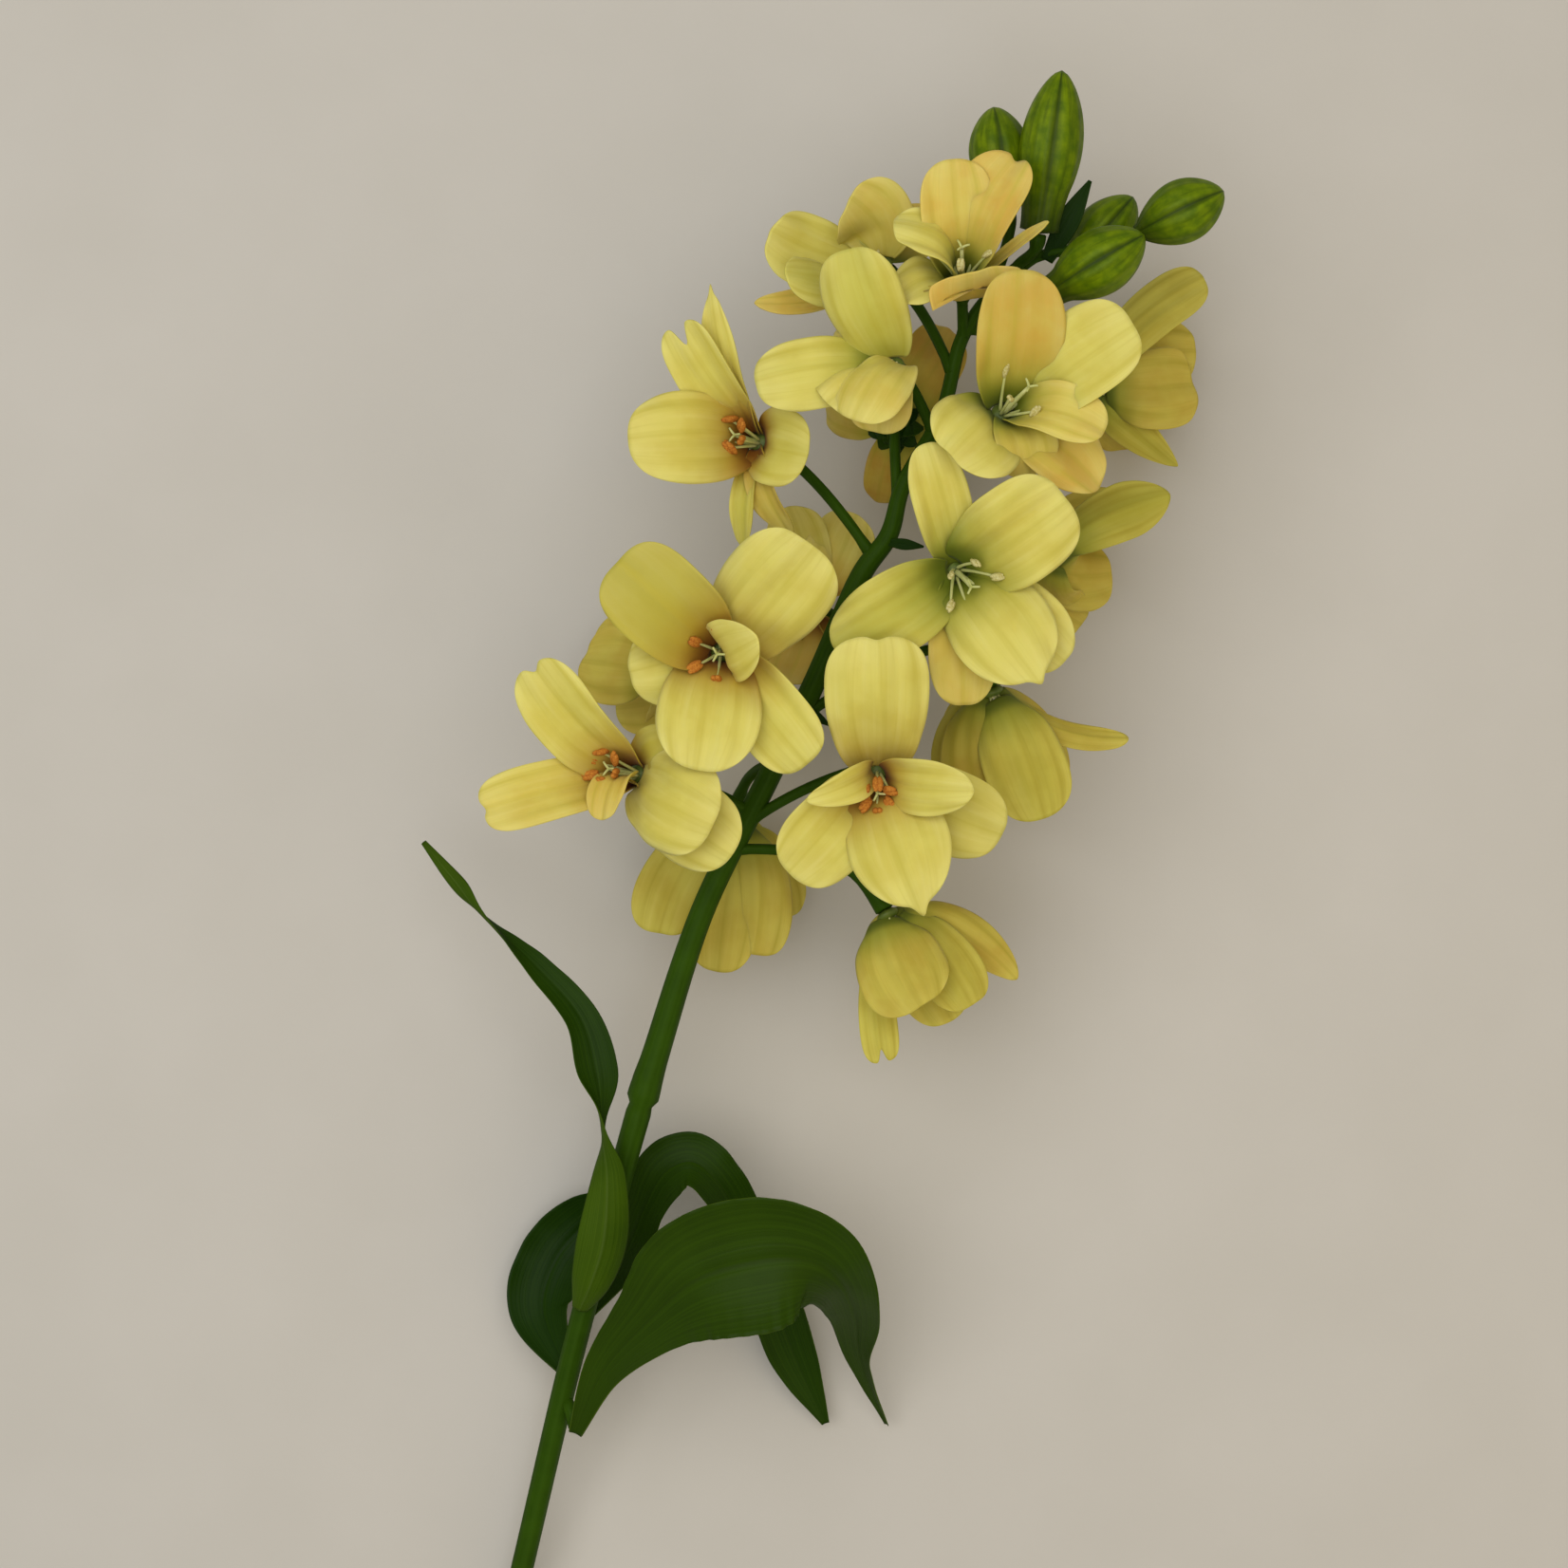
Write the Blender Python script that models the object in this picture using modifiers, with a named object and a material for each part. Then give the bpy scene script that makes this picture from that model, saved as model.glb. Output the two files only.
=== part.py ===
# Fritillaria: one cut flowering stem, laid down on a surface.
# A bent main stem carries open six-tepalled blooms on short stalks, buds at its
# tip and four strap leaves low down. It rests on its cut end and on the lowest
# tepals of two blooms.
#
# Every place below is in millimetres in the drawing frame, in which the stem
# leans to the right as it does in a vase: X sideways, Y up the flower, Z
# towards the viewer, which is up once the flower lies down. At the end the
# whole flower is turned by LEAN, so that the stem lies along Y, and moved so
# that the origin is under the middle of its box.

import math

import bmesh
import bpy
from mathutils import Matrix, Vector

NAME = "fritillaria"
MM = 0.001

# Frame of the laid flower
LEAN = 21.5
ORIGIN_X = 3.5
ORIGIN_Y = -57.5

# Tepals and leaves
TEPAL_THICKNESS = 0.8
TEPAL_ACROSS = 4
MIDDLING_ACROSS = 3
MIDDLING_BELOW = 13.8
NARROW_ACROSS = 2
NARROW_BELOW = 9.2
HIDDEN_NARROW_BELOW = 10.2
TEPAL_ALONG = 4
HIDDEN_ALONG = 3
TEPAL_WIDEST = 0.6
TEPAL_ROOT_WIDTH = 0.24
TEPAL_RISE = 0.7
TEPAL_END = 0.55
ROUND_END = 1.4
SQUARE_END = 2.0
END_REACH = 0.8
END_SWEEP = 1.5
TEPAL_WAVE = 0.06
TEPAL_WAVES = 5.0
TEPAL_WAVE_SKEW = 1.6
TEPAL_WAVE_SHIFT = 2.1
CUP_AT_ROOT = 1.35
CUP_LOST_AT_TIP = 0.9
BOW_PLACE = 0.42
BOW = 5.0
INNER_BOW_LESS = 2.0
CURL = 3.5
CURL_FROM = 0.45
LEAF_THICKNESS = 0.8
LEAF_ACROSS = 4
LEAF_ALONG = 12
LEAF_CUP = 38.0
LEAF_STEP = 0.01

# Receptacle, where the six tepals and the stamens meet
CORE_RADIUS = 3.6
CORE_BACK = 1.4
CORE_SIDES = 7
ROOT_RADIUS = 2.5
OUTER_ROOT_HEIGHT = 0.5
INNER_ROOT_HEIGHT = 1.9
GAP = 0.3

# Stamens: six filaments round one style
STAMEN_COUNT = 6
STAMEN_LENGTH = 13.0
STAMEN_SPREAD = 26.0
STAMEN_END = 0.4
STYLE_LENGTH = 14.5
STAMEN_HUB_RADIUS = 1.0
STAMEN_HUB_TOP = 0.8
STAMEN_HUB_HEIGHT = 1.6

# Main stem: places along its middle and the radius there
STEM = [
    (-94.2, -304.6, 3.18, 3.2),
    (-75.3, -225.4, 13.0, 3.2),
    (-60.9, -165.3, 26.0, 3.3),
    (-49.5, -123.0, 35.5, 3.4),
    (-39.4, -87.3, 42.4, 3.6),
    (-36.0, -76.0, 44.6, 3.8),
    (-22.6, -35.2, 51.0, 3.3),
    (-4.7, 1.0, 56.0, 3.2),
    (8.8, 28.9, 60.0, 3.1),
    (20.5, 56.1, 61.0, 2.9),
    (28.6, 68.0, 62.0, 2.6),
    (32.7, 82.0, 63.0, 2.2),
    (43.0, 101.0, 64.0, 2.0),
    (48.3, 121.0, 66.0, 1.9),
    (57.0, 134.0, 68.0, 1.8),
    (66.0, 142.0, 70.0, 1.7),
]
STEM_STEP = 20.0
STEM_SIDES_LEVEL = 2

# Joint ring on the stem, and the stub that the big leaf grows from
RING_AT = (-39.4, -87.3, 42.45)
RING_ALONG = (0.24, 0.95, 0.19)
RING_RADIUS = 4.3
RING_LENGTH = 3.0
RING_SIDES_LEVEL = 4
STUB = [(-62.5, -173.5, 24.5), (-60.2, -178.5, 26.5), (-59.2, -182.0, 28.0)]
STUB_RADIUS = 1.9

# Stalks
STALK_RADIUS = 1.7
STALK_CAP_RADIUS = 2.7
STALK_CAP_LENGTH = 1.5
STALK_FLARE_FROM = 0.6
STALK_PULL_START = 0.33
STALK_PULL_END = 0.42
STALK_RISE = 0.12
STALK_POINTS = 4
STALK_SIDES_LEVEL = 1

# Blooms. Each has the place of its receptacle, the way its mouth faces, how far
# up the stem its stalk leaves, and its tepals. A tepal has its tip measured from
# the receptacle, its half width, how far its edges are cupped in degrees, and
# where they aren't the usual ones its bow, the curl of its end, its widest place
# along its length and how square its end is, from 0 for a point to 1 for a nearly
# straight edge. A root side is given where a tepal leans back over the mouth.
# A bloom may have its own bow for all its tepals, which is negative where they
# lie open and flat. In a bloom that hangs or faces away, opens is the way that
# the inner sides of the tepals face instead of its mouth. A bloom that rests
# touches the surface; a hidden one lies behind others or is seen from outside,
# and has fewer faces. Stamens are moved a little where a tepal is in their way.
BLOOMS = {
    "A": {
        "at": (47.8, 134.4, 79.2), "faces": (-0.05, 0.60, 0.80), "stalk_from": 122.0,
        "bow": -3.0,
        "stamen_length": 9.0, "stamen_spread": 12.0,
        "tepals": [
            ((-3, 31, 13), 10.5, 38, {"end": 0.6}),
            ((14, 32, 13), 10.5, 38, {"end": 0.7}),
            ((-19, 13, 15), 8.5, 30, {}),
            ((-18, -5, 10), 8.0, 25, {}),
            ((2, 1, 16.5), 14.0, 55, {"bow": 6, "end": 1.1, "widest": 0.72}),
            ((22, 14, 16), 2.8, 60, {"bow": 1, "end": 0.3}),
        ],
    },
    "B": {
        "at": (27.0, 141.0, 63.0), "faces": (-0.60, 0.45, 0.65), "stalk_from": 112.0,
        "opens": (-0.35, 0.25, 0.90), "hidden": True,
        "stamen_length": 3.0, "stamen_spread": 8.0,
        "tepals": [
            ((-31, 8, 12), 10.5, 20, {"end": 0.5}),
            ((-27, -4, 19), 8.0, -30, {"end": 0.3}),
            ((-35, -10, 3), 4.5, 50, {"end": 0.2}),
            ((-9, 17, 13), 11.5, 20, {}),
            ((8, 18, -3), 9.0, 25, {}),
            ((-5, -18, -1), 8.0, 30, {}),
        ],
    },
    "C": {
        "at": (29.5, 112.0, 77.0), "faces": (-0.35, 0.10, 0.93), "stalk_from": 96.0,
        "bow": -2.0, "hidden": True,
        "stamen_length": 1.5, "stamen_spread": 2.0, "stamens_moved": (-2.4, 1.5, -0.9),
        "tepals": [
            ((-13, 29, 19), 11.5, -28, {"end": 0.6}),
            ((-18, -11, 13), 10.5, -25, {"end": 0.7}),
            ((-4, -18, 4), 9.0, 20, {"end": 0.6}),
            ((-37, -5, 7), 10.0, -15, {"end": 0.7}),
            ((-17, 8, -13), 7.0, 25, {}),
            ((-11, -16, 17), 10.0, -30, {"bow": -4.5, "curl": 2, "end": 0.7, "root_side": (1, 0.1, 0.3)}),
        ],
    },
    "D": {
        "at": (-7.0, 93.5, 60.5), "faces": (-0.45, 0.05, 0.90), "stalk_from": 62.0,
        "bow": -3.0,
        "stamen_length": 7.0, "stamen_spread": 12.0,
        "tepals": [
            ((-35, -1, 17), 13.0, 10, {"end": 0.5}),
            ((-22, 30, 17), 8.5, 50, {"end": 1}),
            ((-12.5, 39, 15), 5.6, 45, {"end": 0.1}),
            ((13.5, -5, 17), 11.0, 30, {}),
            ((9, -26, 5), 5.5, 50, {"end": 0.2}),
            ((-4, -29, 5), 4.0, 50, {"end": 0.2}),
        ],
    },
    "E": {
        "at": (31.5, 100.0, 52.0), "faces": (0.15, 0.30, -0.94), "stalk_from": 76.0,
        "hidden": True,
        "stamen_length": 6.0, "stamen_spread": 12.0,
        "tepals": [
            ((15, 27, -12), 9.0, 25, {}),
            ((-7, 23, -19), 8.0, 25, {}),
            ((-20, 8, -20), 8.0, 25, {}),
            ((-4, -20, -24), 6.5, 25, {}),
            ((14, -15, -22), 8.0, 25, {}),
            ((22, 2, -21), 8.0, 25, {}),
        ],
    },
    "F": {
        "at": (58.5, 99.0, 81.0), "faces": (0.22, 0.28, 0.93), "stalk_from": 90.0,
        "bow": -3.0,
        "stamen_length": 8.0,
        "tepals": [
            ((4, 36, 19), 12.0, 12, {"end": 0.6}),
            ((33, 22, 19), 12.5, 30, {"end": 0.8}),
            ((26, -6, 17), 8.5, 45, {"end": 0.6}),
            ((26, -20, 3), 11.0, 20, {"end": 0.15}),
            ((7, -17, 5), 9.0, 25, {}),
            ((-14.5, -13.5, 20), 13.5, -14, {"end": 0.65}),
        ],
    },
    "G": {
        "at": (88.0, 111.0, 33.4), "faces": (0.90, 0.10, -0.30), "stalk_from": 124.0,
        "opens": (0.45, 0.00, -0.90), "rests": True, "hidden": True,
        "stamen_length": 2.0, "stamen_spread": 4.0,
        "tepals": [
            ((30, 31, 2), 8.0, 40, {"end": 0.7, "widest": 0.7}),
            ((29, 12, -9), 11.0, 30, {}),
            ((28, 2, -3), 12.0, 30, {"end": 0.8}),
            ((23.5, -21, -5), 6.5, 40, {"bow": 1, "end": 0, "widest": 0.35}),
            ((14, -13, -33), 9.0, 25, {}),
            ((10, 16, -32), 9.0, 25, {}),
        ],
    },
    "H": {
        "at": (46.3, 57.0, 77.0), "faces": (0.10, -0.05, 0.99), "stalk_from": 38.0,
        "bow": -3.0,
        "stamen_length": 8.0,
        "tepals": [
            ((-9, 33, 17), 8.0, 25, {"end": 0.5}),
            ((28, 18, 21), 13.5, 6, {"end": 0.85}),
            ((29, -24, 8), 11.0, 10, {"end": 0.5}),
            ((20.5, -28.5, 17), 14.0, -22, {"end": 0.45}),
            ((1.5, -36, 6), 9.5, 28, {}),
            ((-33, -21, 8), 11.5, 30, {"end": 0.35, "widest": 0.55}),
        ],
    },
    "I": {
        "at": (74.0, 63.0, 50.0), "faces": (0.90, 0.10, -0.35), "stalk_from": 46.0,
        "opens": (0.45, 0.00, -0.90), "hidden": True,
        "stamen_length": 2.0, "stamen_spread": 4.0, "stamens_moved": (0.0, 0.0, 0.6),
        "tepals": [
            ((33, 17, -2), 8.5, 30, {"end": 0.15, "widest": 0.66}),
            ((24, 14, -20), 9.0, 30, {}),
            ((18, -4, -14), 10.5, 35, {}),
            ((10, -18, -18), 8.5, 30, {}),
            ((8, 0, -32), 8.0, 30, {}),
            ((8, 16, -30), 8.0, 30, {}),
        ],
    },
    "J": {
        "at": (-17.0, 35.5, 78.0), "faces": (0.00, -0.10, 0.99), "stalk_from": 14.0,
        "bow": -3.0,
        "stamen_length": 4.0, "stamen_spread": 5.0, "stamens_moved": (-0.6, -0.3, 0.0),
        "tepals": [
            ((-27, 23, 20), 13.5, 42, {"end": 0.85}),
            ((24.5, 27, 24), 15.0, -24, {"end": 0.75}),
            ((10, 3, 23), 9.0, 12, {"curl": -2, "end": 0.3, "widest": 0.5}),
            ((23.5, -30, 10), 10.5, 35, {"end": 0.8}),
            ((-5.5, -32, 18), 14.0, -12, {"end": 0.5}),
            ((-24, -6, 8), 11.0, 25, {}),
        ],
    },
    "K": {
        "at": (8.0, 49.0, 42.0), "faces": (-0.30, 0.10, 0.94), "stalk_from": 49.0,
        "hidden": True, "stalk_by": (10.0, -5.0, -5.0),
        "tepals": [
            ((12, 26, 4), 10.0, 22, {}),
            ((-7, 28, 3), 9.0, 25, {}),
            ((-26, 8, 2), 9.0, 25, {}),
            ((-22, -14, 2), 9.0, 25, {}),
            ((-8, -21, 8), 9.0, 25, {}),
            ((9, -22, 2), 8.0, 25, {}),
        ],
    },
    "L": {
        "at": (-39.5, 2.5, 72.0), "faces": (-0.45, 0.08, 0.89), "stalk_from": -8.0,
        "bow": -3.0,
        "stamen_length": 6.0, "stamen_spread": 4.0,
        "tepals": [
            ((-27.5, 29, 22), 10.5, 45, {"end": 0.8}),
            ((-40.5, -9.5, 20), 9.0, 45, {"end": 1.1}),
            ((-9, -12, 17), 6.0, 40, {}),
            ((21, -13, 22), 14.0, -25, {"end": 0.7}),
            ((26, -21, 14), 12.0, -18, {}),
            ((12.5, 7, 10), 9.5, 25, {}),
        ],
    },
    "M": {
        "at": (-33.5, 32.0, 31.2), "faces": (-0.85, 0.10, -0.45), "stalk_from": 4.0,
        "opens": (-0.45, 0.00, -0.90), "rests": True, "hidden": True,
        "stamen_length": 2.0, "stamen_spread": 4.0, "stamens_moved": (0.0, 0.0, 0.6),
        "tepals": [
            ((-24, 3, -9), 12.0, 38, {}),
            ((-14, 16, -22), 10.0, 30, {}),
            ((0, 14, -31), 8.0, 30, {}),
            ((-2, -14, -30), 8.0, 30, {}),
            ((-15, -10, -24), 10.0, 30, {}),
            ((-21, 10, -21), 10.0, 30, {}),
        ],
    },
    "N": {
        "at": (25.0, 2.5, 75.0), "faces": (0.00, -0.22, 0.97), "stalk_from": -12.0,
        "bow": -3.0,
        "stamen_length": 5.0, "stamen_spread": 6.0,
        "tepals": [
            ((-0.5, 36.5, 20), 14.0, -6, {"end": 0.8, "widest": 0.66}),
            ((25, -5, 24), 9.0, 38, {"end": 0.5}),
            ((33.5, -15.5, 9), 12.0, 26, {}),
            ((11, -34.5, 18), 14.0, -16, {"end": 0.3}),
            ((-14, -2, 21), 7.5, 25, {"curl": -2, "end": 0.35}),
            ((-23.5, -26.5, 11), 12.0, 42, {}),
        ],
    },
    "O": {
        "at": (57.0, 25.5, 58.0), "faces": (0.30, -0.90, -0.15), "stalk_from": 18.0,
        "opens": (0.15, -0.50, -0.85), "hidden": True,
        "stamen_length": 2.0, "stamen_spread": 4.0,
        "tepals": [
            ((1, -35, -3), 9.5, 38, {}),
            ((14, -35, 2), 12.0, 38, {"bow": 2.5}),
            ((38, -13, -4), 4.3, 45, {"bow": -4, "end": 0.4}),
            ((20, -27, -26), 10.0, 30, {}),
            ((-1, -28, -26), 11.0, 30, {}),
            ((-8, -26, -10), 9.5, 35, {}),
        ],
    },
    "P": {
        "at": (-13.5, -11.0, 34.0), "faces": (-0.10, -0.95, -0.20), "stalk_from": 6.0,
        "opens": (-0.05, -0.50, -0.86), "hidden": True,
        "stamen_length": 2.0, "stamen_spread": 4.0,
        "tepals": [
            ((-22, -31, 1), 10.5, 30, {"end": 0.9}),
            ((-5, -42, 0), 10.5, 30, {}),
            ((5, -37, 1), 9.5, 35, {"end": 0.8}),
            ((15, -27, -15), 8.0, 30, {}),
            ((1, -29, -24), 9.0, 30, {}),
            ((-16, -28, -20), 9.0, 30, {}),
        ],
    },
    "Q": {
        "at": (28.5, -36.0, 54.0), "faces": (0.45, -0.80, 0.20), "stalk_from": -18.0,
        "opens": (0.30, -0.50, -0.80), "hidden": True,
        "stamen_length": 1.2, "stamen_spread": 0.0, "stamens_moved": (0.4, -0.3, -2.65),
        "tepals": [
            ((9, -25, 10), 13.0, 35, {"bow": 1.5}),
            ((23, -25, 5), 9.5, 35, {"bow": 2}),
            ((36, -18, -3), 7.5, 40, {"end": 0.1, "widest": 0.5}),
            ((18, -30, -8), 10.0, 30, {}),
            ((8, -28, -20), 9.0, 30, {}),
            ((-1, -41, -3), 5.5, 35, {"end": 1, "widest": 0.75}),
        ],
    },
}

# Buds: place of the base, place of the tip, greatest radius, width kept down to
# the stalk as a share of it, and how far up the stem the stalk leaves
BUDS = {
    "bud_1": ((60.0, 156.0, 70.8), (55.8, 183.0, 71.5), 8.2, 0.0, 134.0),
    "bud_2": ((69.0, 148.0, 78.0), (74.4, 190.5, 85.0), 8.3, 0.62, 139.0),
    "bud_3": ((94.5, 148.0, 76.0), (118.0, 159.0, 80.0), 8.6, 0.0, 141.0),
    "bud_4": ((77.5, 139.0, 60.0), (95.5, 160.5, 62.0), 8.0, 0.0, 137.0),
    "bud_5": ((70.5, 131.0, 83.0), (95.5, 145.5, 91.0), 8.8, 0.5, 131.0),
}
BUD_SIDES = 9
BUD_RINGS = 7
BUD_SEAMS = 3
BUD_SEAM = 0.06
BUD_BLUNTNESS = 0.62
BUD_NECK = 0.27
BUD_NECK_TO = 0.3
BUD_BELLY = 1.12
BUD_CLUB_FROM = 0.05
BUD_CLUB_TO = 0.55
BUD_POLE = 0.999
BUD_CAP_RADIUS = 2.2

# Small bracts on the stem: root, tip, half width
BRACTS = [
    ((71.0, 141.5, 72.0), (82.5, 162.5, 76.0), 3.6),
    ((28.0, 66.0, 63.5), (38.0, 64.5, 67.0), 1.6),
    ((5.0, 21.0, 59.5), (12.5, 16.0, 62.5), 1.5),
]
BRACT_ACROSS = 2
BRACT_ALONG = 4
BRACT_CUP = 30.0
BRACT_ROOT_SHARE = 0.5
BRACT_TIP_SHARE = 0.15

# Leaves: places along the middle, with the half width and the turn about the
# middle line in degrees, where 0 shows the upper face to the viewer
LEAVES = {
    "leaf_twisted": [
        (-57.6, -148.0, 34.2, 2.2, 185),
        (-54.0, -139.5, 40.5, 6.0, 185),
        (-50.2, -126.5, 44.5, 7.6, 190),
        (-49.0, -108.5, 48.0, 5.0, 165),
        (-50.4, -94.5, 51.0, 2.6, 90),
        (-51.9, -80.0, 51.0, 6.2, 20),
        (-56.5, -64.5, 50.0, 5.2, 20),
        (-69.0, -50.6, 46.0, 3.8, 25),
        (-83.6, -37.5, 40.0, 1.8, 95),
        (-91.6, -28.2, 36.0, 2.4, 170),
        (-101.8, -16.4, 31.0, 0.8, 180),
    ],
    "leaf_large": [
        (-58.9, -183.4, 30.2, 2.0, 0),
        (-50.6, -164.5, 37.0, 6.0, -14),
        (-37.2, -148.5, 48.0, 11.0, -12),
        (-24.2, -136.4, 57.0, 18.0, -8),
        (-6.3, -130.6, 62.0, 20.0, 0),
        (7.5, -131.0, 60.0, 15.5, 8),
        (16.0, -138.0, 52.0, 10.5, 18),
        (20.0, -149.0, 38.0, 8.6, 30),
        (22.0, -165.0, 19.0, 4.6, 45),
        (29.9, -185.6, 4.5, 0.9, 60),
    ],
    "leaf_arched": [
        (-57.2, -151.0, 25.2, 2.5, 0),
        (-45.5, -134.0, 19.0, 6.4, 10),
        (-39.8, -120.5, 22.0, 6.4, 0),
        (-34.0, -110.2, 25.5, 8.6, -10),
        (-25.8, -107.0, 27.0, 8.4, -20),
        (-18.0, -114.0, 26.0, 7.6, -20),
        (-11.5, -127.0, 21.5, 7.6, -10),
        (-4.0, -145.0, 14.5, 8.0, 0),
        (3.5, -166.0, 8.5, 7.2, 10),
        (12.1, -185.2, 5.0, 1.2, 10),
    ],
    "leaf_back": [
        (-62.0, -167.0, 21.9, 2.5, 0),
        (-69.5, -151.5, 12.0, 9.8, -10),
        (-66.0, -137.5, 8.0, 11.0, -10),
        (-56.5, -126.5, 6.5, 9.5, 0),
        (-46.8, -119.2, 6.0, 2.0, 0),
    ],
}

# Colours: linear red, green and blue, with the roughness
COLOURS = {
    "tepal": ((0.62, 0.55, 0.13), 0.55),
    "stamen": ((0.45, 0.33, 0.08), 0.60),
    "stem": ((0.03, 0.10, 0.01), 0.45),
    "leaf": ((0.02, 0.06, 0.005), 0.38),
    "bud": ((0.09, 0.17, 0.01), 0.45),
}


def clear_scene():
    for old in list(bpy.data.objects):
        bpy.data.objects.remove(old, do_unlink=True)


def make_material(kind):
    colour, roughness = COLOURS[kind]
    material = bpy.data.materials.new(kind)
    material.use_nodes = True
    shader = material.node_tree.nodes["Principled BSDF"]
    shader.inputs["Base Color"].default_value = (*colour, 1.0)
    shader.inputs["Roughness"].default_value = roughness
    return material


def smooth_curve(stations, t):
    # Catmull-Rom curve through the stations, with t from 0 to 1
    last = len(stations) - 1
    place = min(max(t, 0.0), 1.0) * last
    i = min(int(place), last - 1)
    f = place - i
    before = stations[max(i - 1, 0)]
    start = stations[i]
    end = stations[i + 1]
    after = stations[min(i + 2, last)]
    values = []
    for a, b, c, d in zip(before, start, end, after):
        rise = 2 * b + (c - a) * f
        bend = (2 * a - 5 * b + 4 * c - d) * f * f
        twist = (3 * b - 3 * c + d - a) * f * f * f
        values.append(0.5 * (rise + bend + twist))
    return values


def stem_at(height):
    # Place on the middle of the stem at a height Y of the drawing
    low, high = 0.0, 1.0
    for _ in range(40):
        middle = (low + high) / 2
        if smooth_curve(STEM, middle)[1] < height:
            low = middle
        else:
            high = middle
    return Vector(smooth_curve(STEM, low)[:3])


def turned_to(axis):
    # Rotation that turns +Z to the axis
    return Vector((0, 0, 1)).rotation_difference(Vector(axis).normalized()).to_matrix().to_4x4()


def link_mesh(name, bm, collection):
    mesh = bpy.data.meshes.new(name)
    bm.to_mesh(mesh)
    bm.free()
    thing = bpy.data.objects.new(name, mesh)
    collection.objects.link(thing)
    return thing


def add_solidify(thing, thickness):
    solid = thing.modifiers.new("thickness", "SOLIDIFY")
    solid.thickness = thickness * MM
    solid.offset = 0.0
    solid.use_rim = True


def sheet(name, across, along, place, thickness, collection):
    # Thin blade: place(u, v) gives a point for u along and v from -1 to 1 across
    bm = bmesh.new()
    bmesh.ops.create_grid(bm, x_segments=across, y_segments=along, size=1.0)
    for vert in bm.verts:
        vert.co = place((vert.co.y + 1) / 2, vert.co.x) * MM
    bmesh.ops.triangulate(bm, faces=bm.faces[:])
    thing = link_mesh(name, bm, collection)
    add_solidify(thing, thickness)
    return thing


def swing(value, low, high):
    # Smooth step from 0 at low to 1 at high
    t = min(max((value - low) / (high - low), 0.0), 1.0)
    return t * t * (3 - 2 * t)


def tepal_outline(u, v, widest, end):
    # Share of the length and of the half width at u and v: a narrow claw that
    # widens to the widest place, then an end that is round or nearly square
    if u < widest:
        rise = math.sin(math.pi / 2 * u / widest) ** TEPAL_RISE
        return u, TEPAL_ROOT_WIDTH + (1 - TEPAL_ROOT_WIDTH) * rise
    power = ROUND_END + SQUARE_END * end
    end_half = (1 - END_REACH ** power) ** (1 / power)
    past = (u - widest) / (1 - widest)
    arc = (1 - (1 - (end_half * abs(v)) ** power) ** (1 / power)) / (1 - END_REACH)
    back = (1 - END_REACH) * past ** END_SWEEP
    return u - (1 - widest) * back * arc, (1 - (past - back) ** power) ** (1 / power)


def inner_ring(bloom):
    # Every second tepal round the bloom is an inner one: the three that reach
    # further forward
    facing = Vector(bloom["faces"]).normalized()
    sideways = facing.orthogonal().normalized()
    upward = facing.cross(sideways)

    def turn(index):
        tip = Vector(bloom["tepals"][index][0])
        return math.atan2(tip.dot(upward), tip.dot(sideways))

    def reach(ring):
        return sum(Vector(bloom["tepals"][index][0]).dot(facing) for index in ring)

    order = sorted(range(len(bloom["tepals"])), key=turn)
    return max(order[0::2], order[1::2], key=reach)


def tepal_place(bloom, index):
    # Function of u and v that gives the tepal's middle surface
    tip, half, cup, extra = bloom["tepals"][index]
    base = Vector(bloom["at"])
    facing = Vector(bloom["faces"]).normalized()
    opening = Vector(bloom.get("opens", bloom["faces"])).normalized()
    tip = Vector(tip)
    outwards = Vector(extra.get("root_side", tip))
    side = (outwards - facing * outwards.dot(facing)).normalized()
    inner = index in inner_ring(bloom)
    height = INNER_ROOT_HEIGHT if inner else OUTER_ROOT_HEIGHT
    bow = bloom.get("bow", BOW) - (INNER_BOW_LESS if inner else 0.0)
    bow = extra.get("bow", bow)
    root = base + facing * height + side * ROOT_RADIUS
    chord = base + tip - root
    along = chord.normalized()
    towards_axis = (facing - along * facing.dot(along)).normalized()
    inward = (opening - along * opening.dot(along)).normalized()
    middle = root + chord * BOW_PLACE - towards_axis * 2 * bow
    curl = extra.get("curl", CURL)
    end_point = base + tip + inward * curl
    end = extra.get("end", TEPAL_END)
    widest = extra.get("widest", TEPAL_WIDEST)
    phase = TEPAL_WAVE_SHIFT * index + base.x

    def place(u, v):
        s, share = tepal_outline(u, v, widest, end)
        past = max(s - CURL_FROM, 0.0) / (1 - CURL_FROM)
        here = root * (1 - s) ** 2 + middle * 2 * s * (1 - s) + end_point * s ** 2
        here -= inward * curl * past ** 2
        heading = (middle - root) * (1 - s) + (end_point - middle) * s
        heading = (heading - inward * curl * past / (1 - CURL_FROM)).normalized()
        up = (opening - heading * opening.dot(heading)).normalized()
        across = heading.cross(up)
        bend = math.radians(cup * (CUP_AT_ROOT - CUP_LOST_AT_TIP * u))
        lift = half * (1 - math.cos(bend * v * share)) / bend
        wave = TEPAL_WAVE * half * math.sin(TEPAL_WAVES * s + phase + TEPAL_WAVE_SKEW * v * share)
        lift += wave * (v * share) ** 2 * s
        return here + across * (half * math.sin(bend * v * share) / bend) + up * lift

    return place


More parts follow.
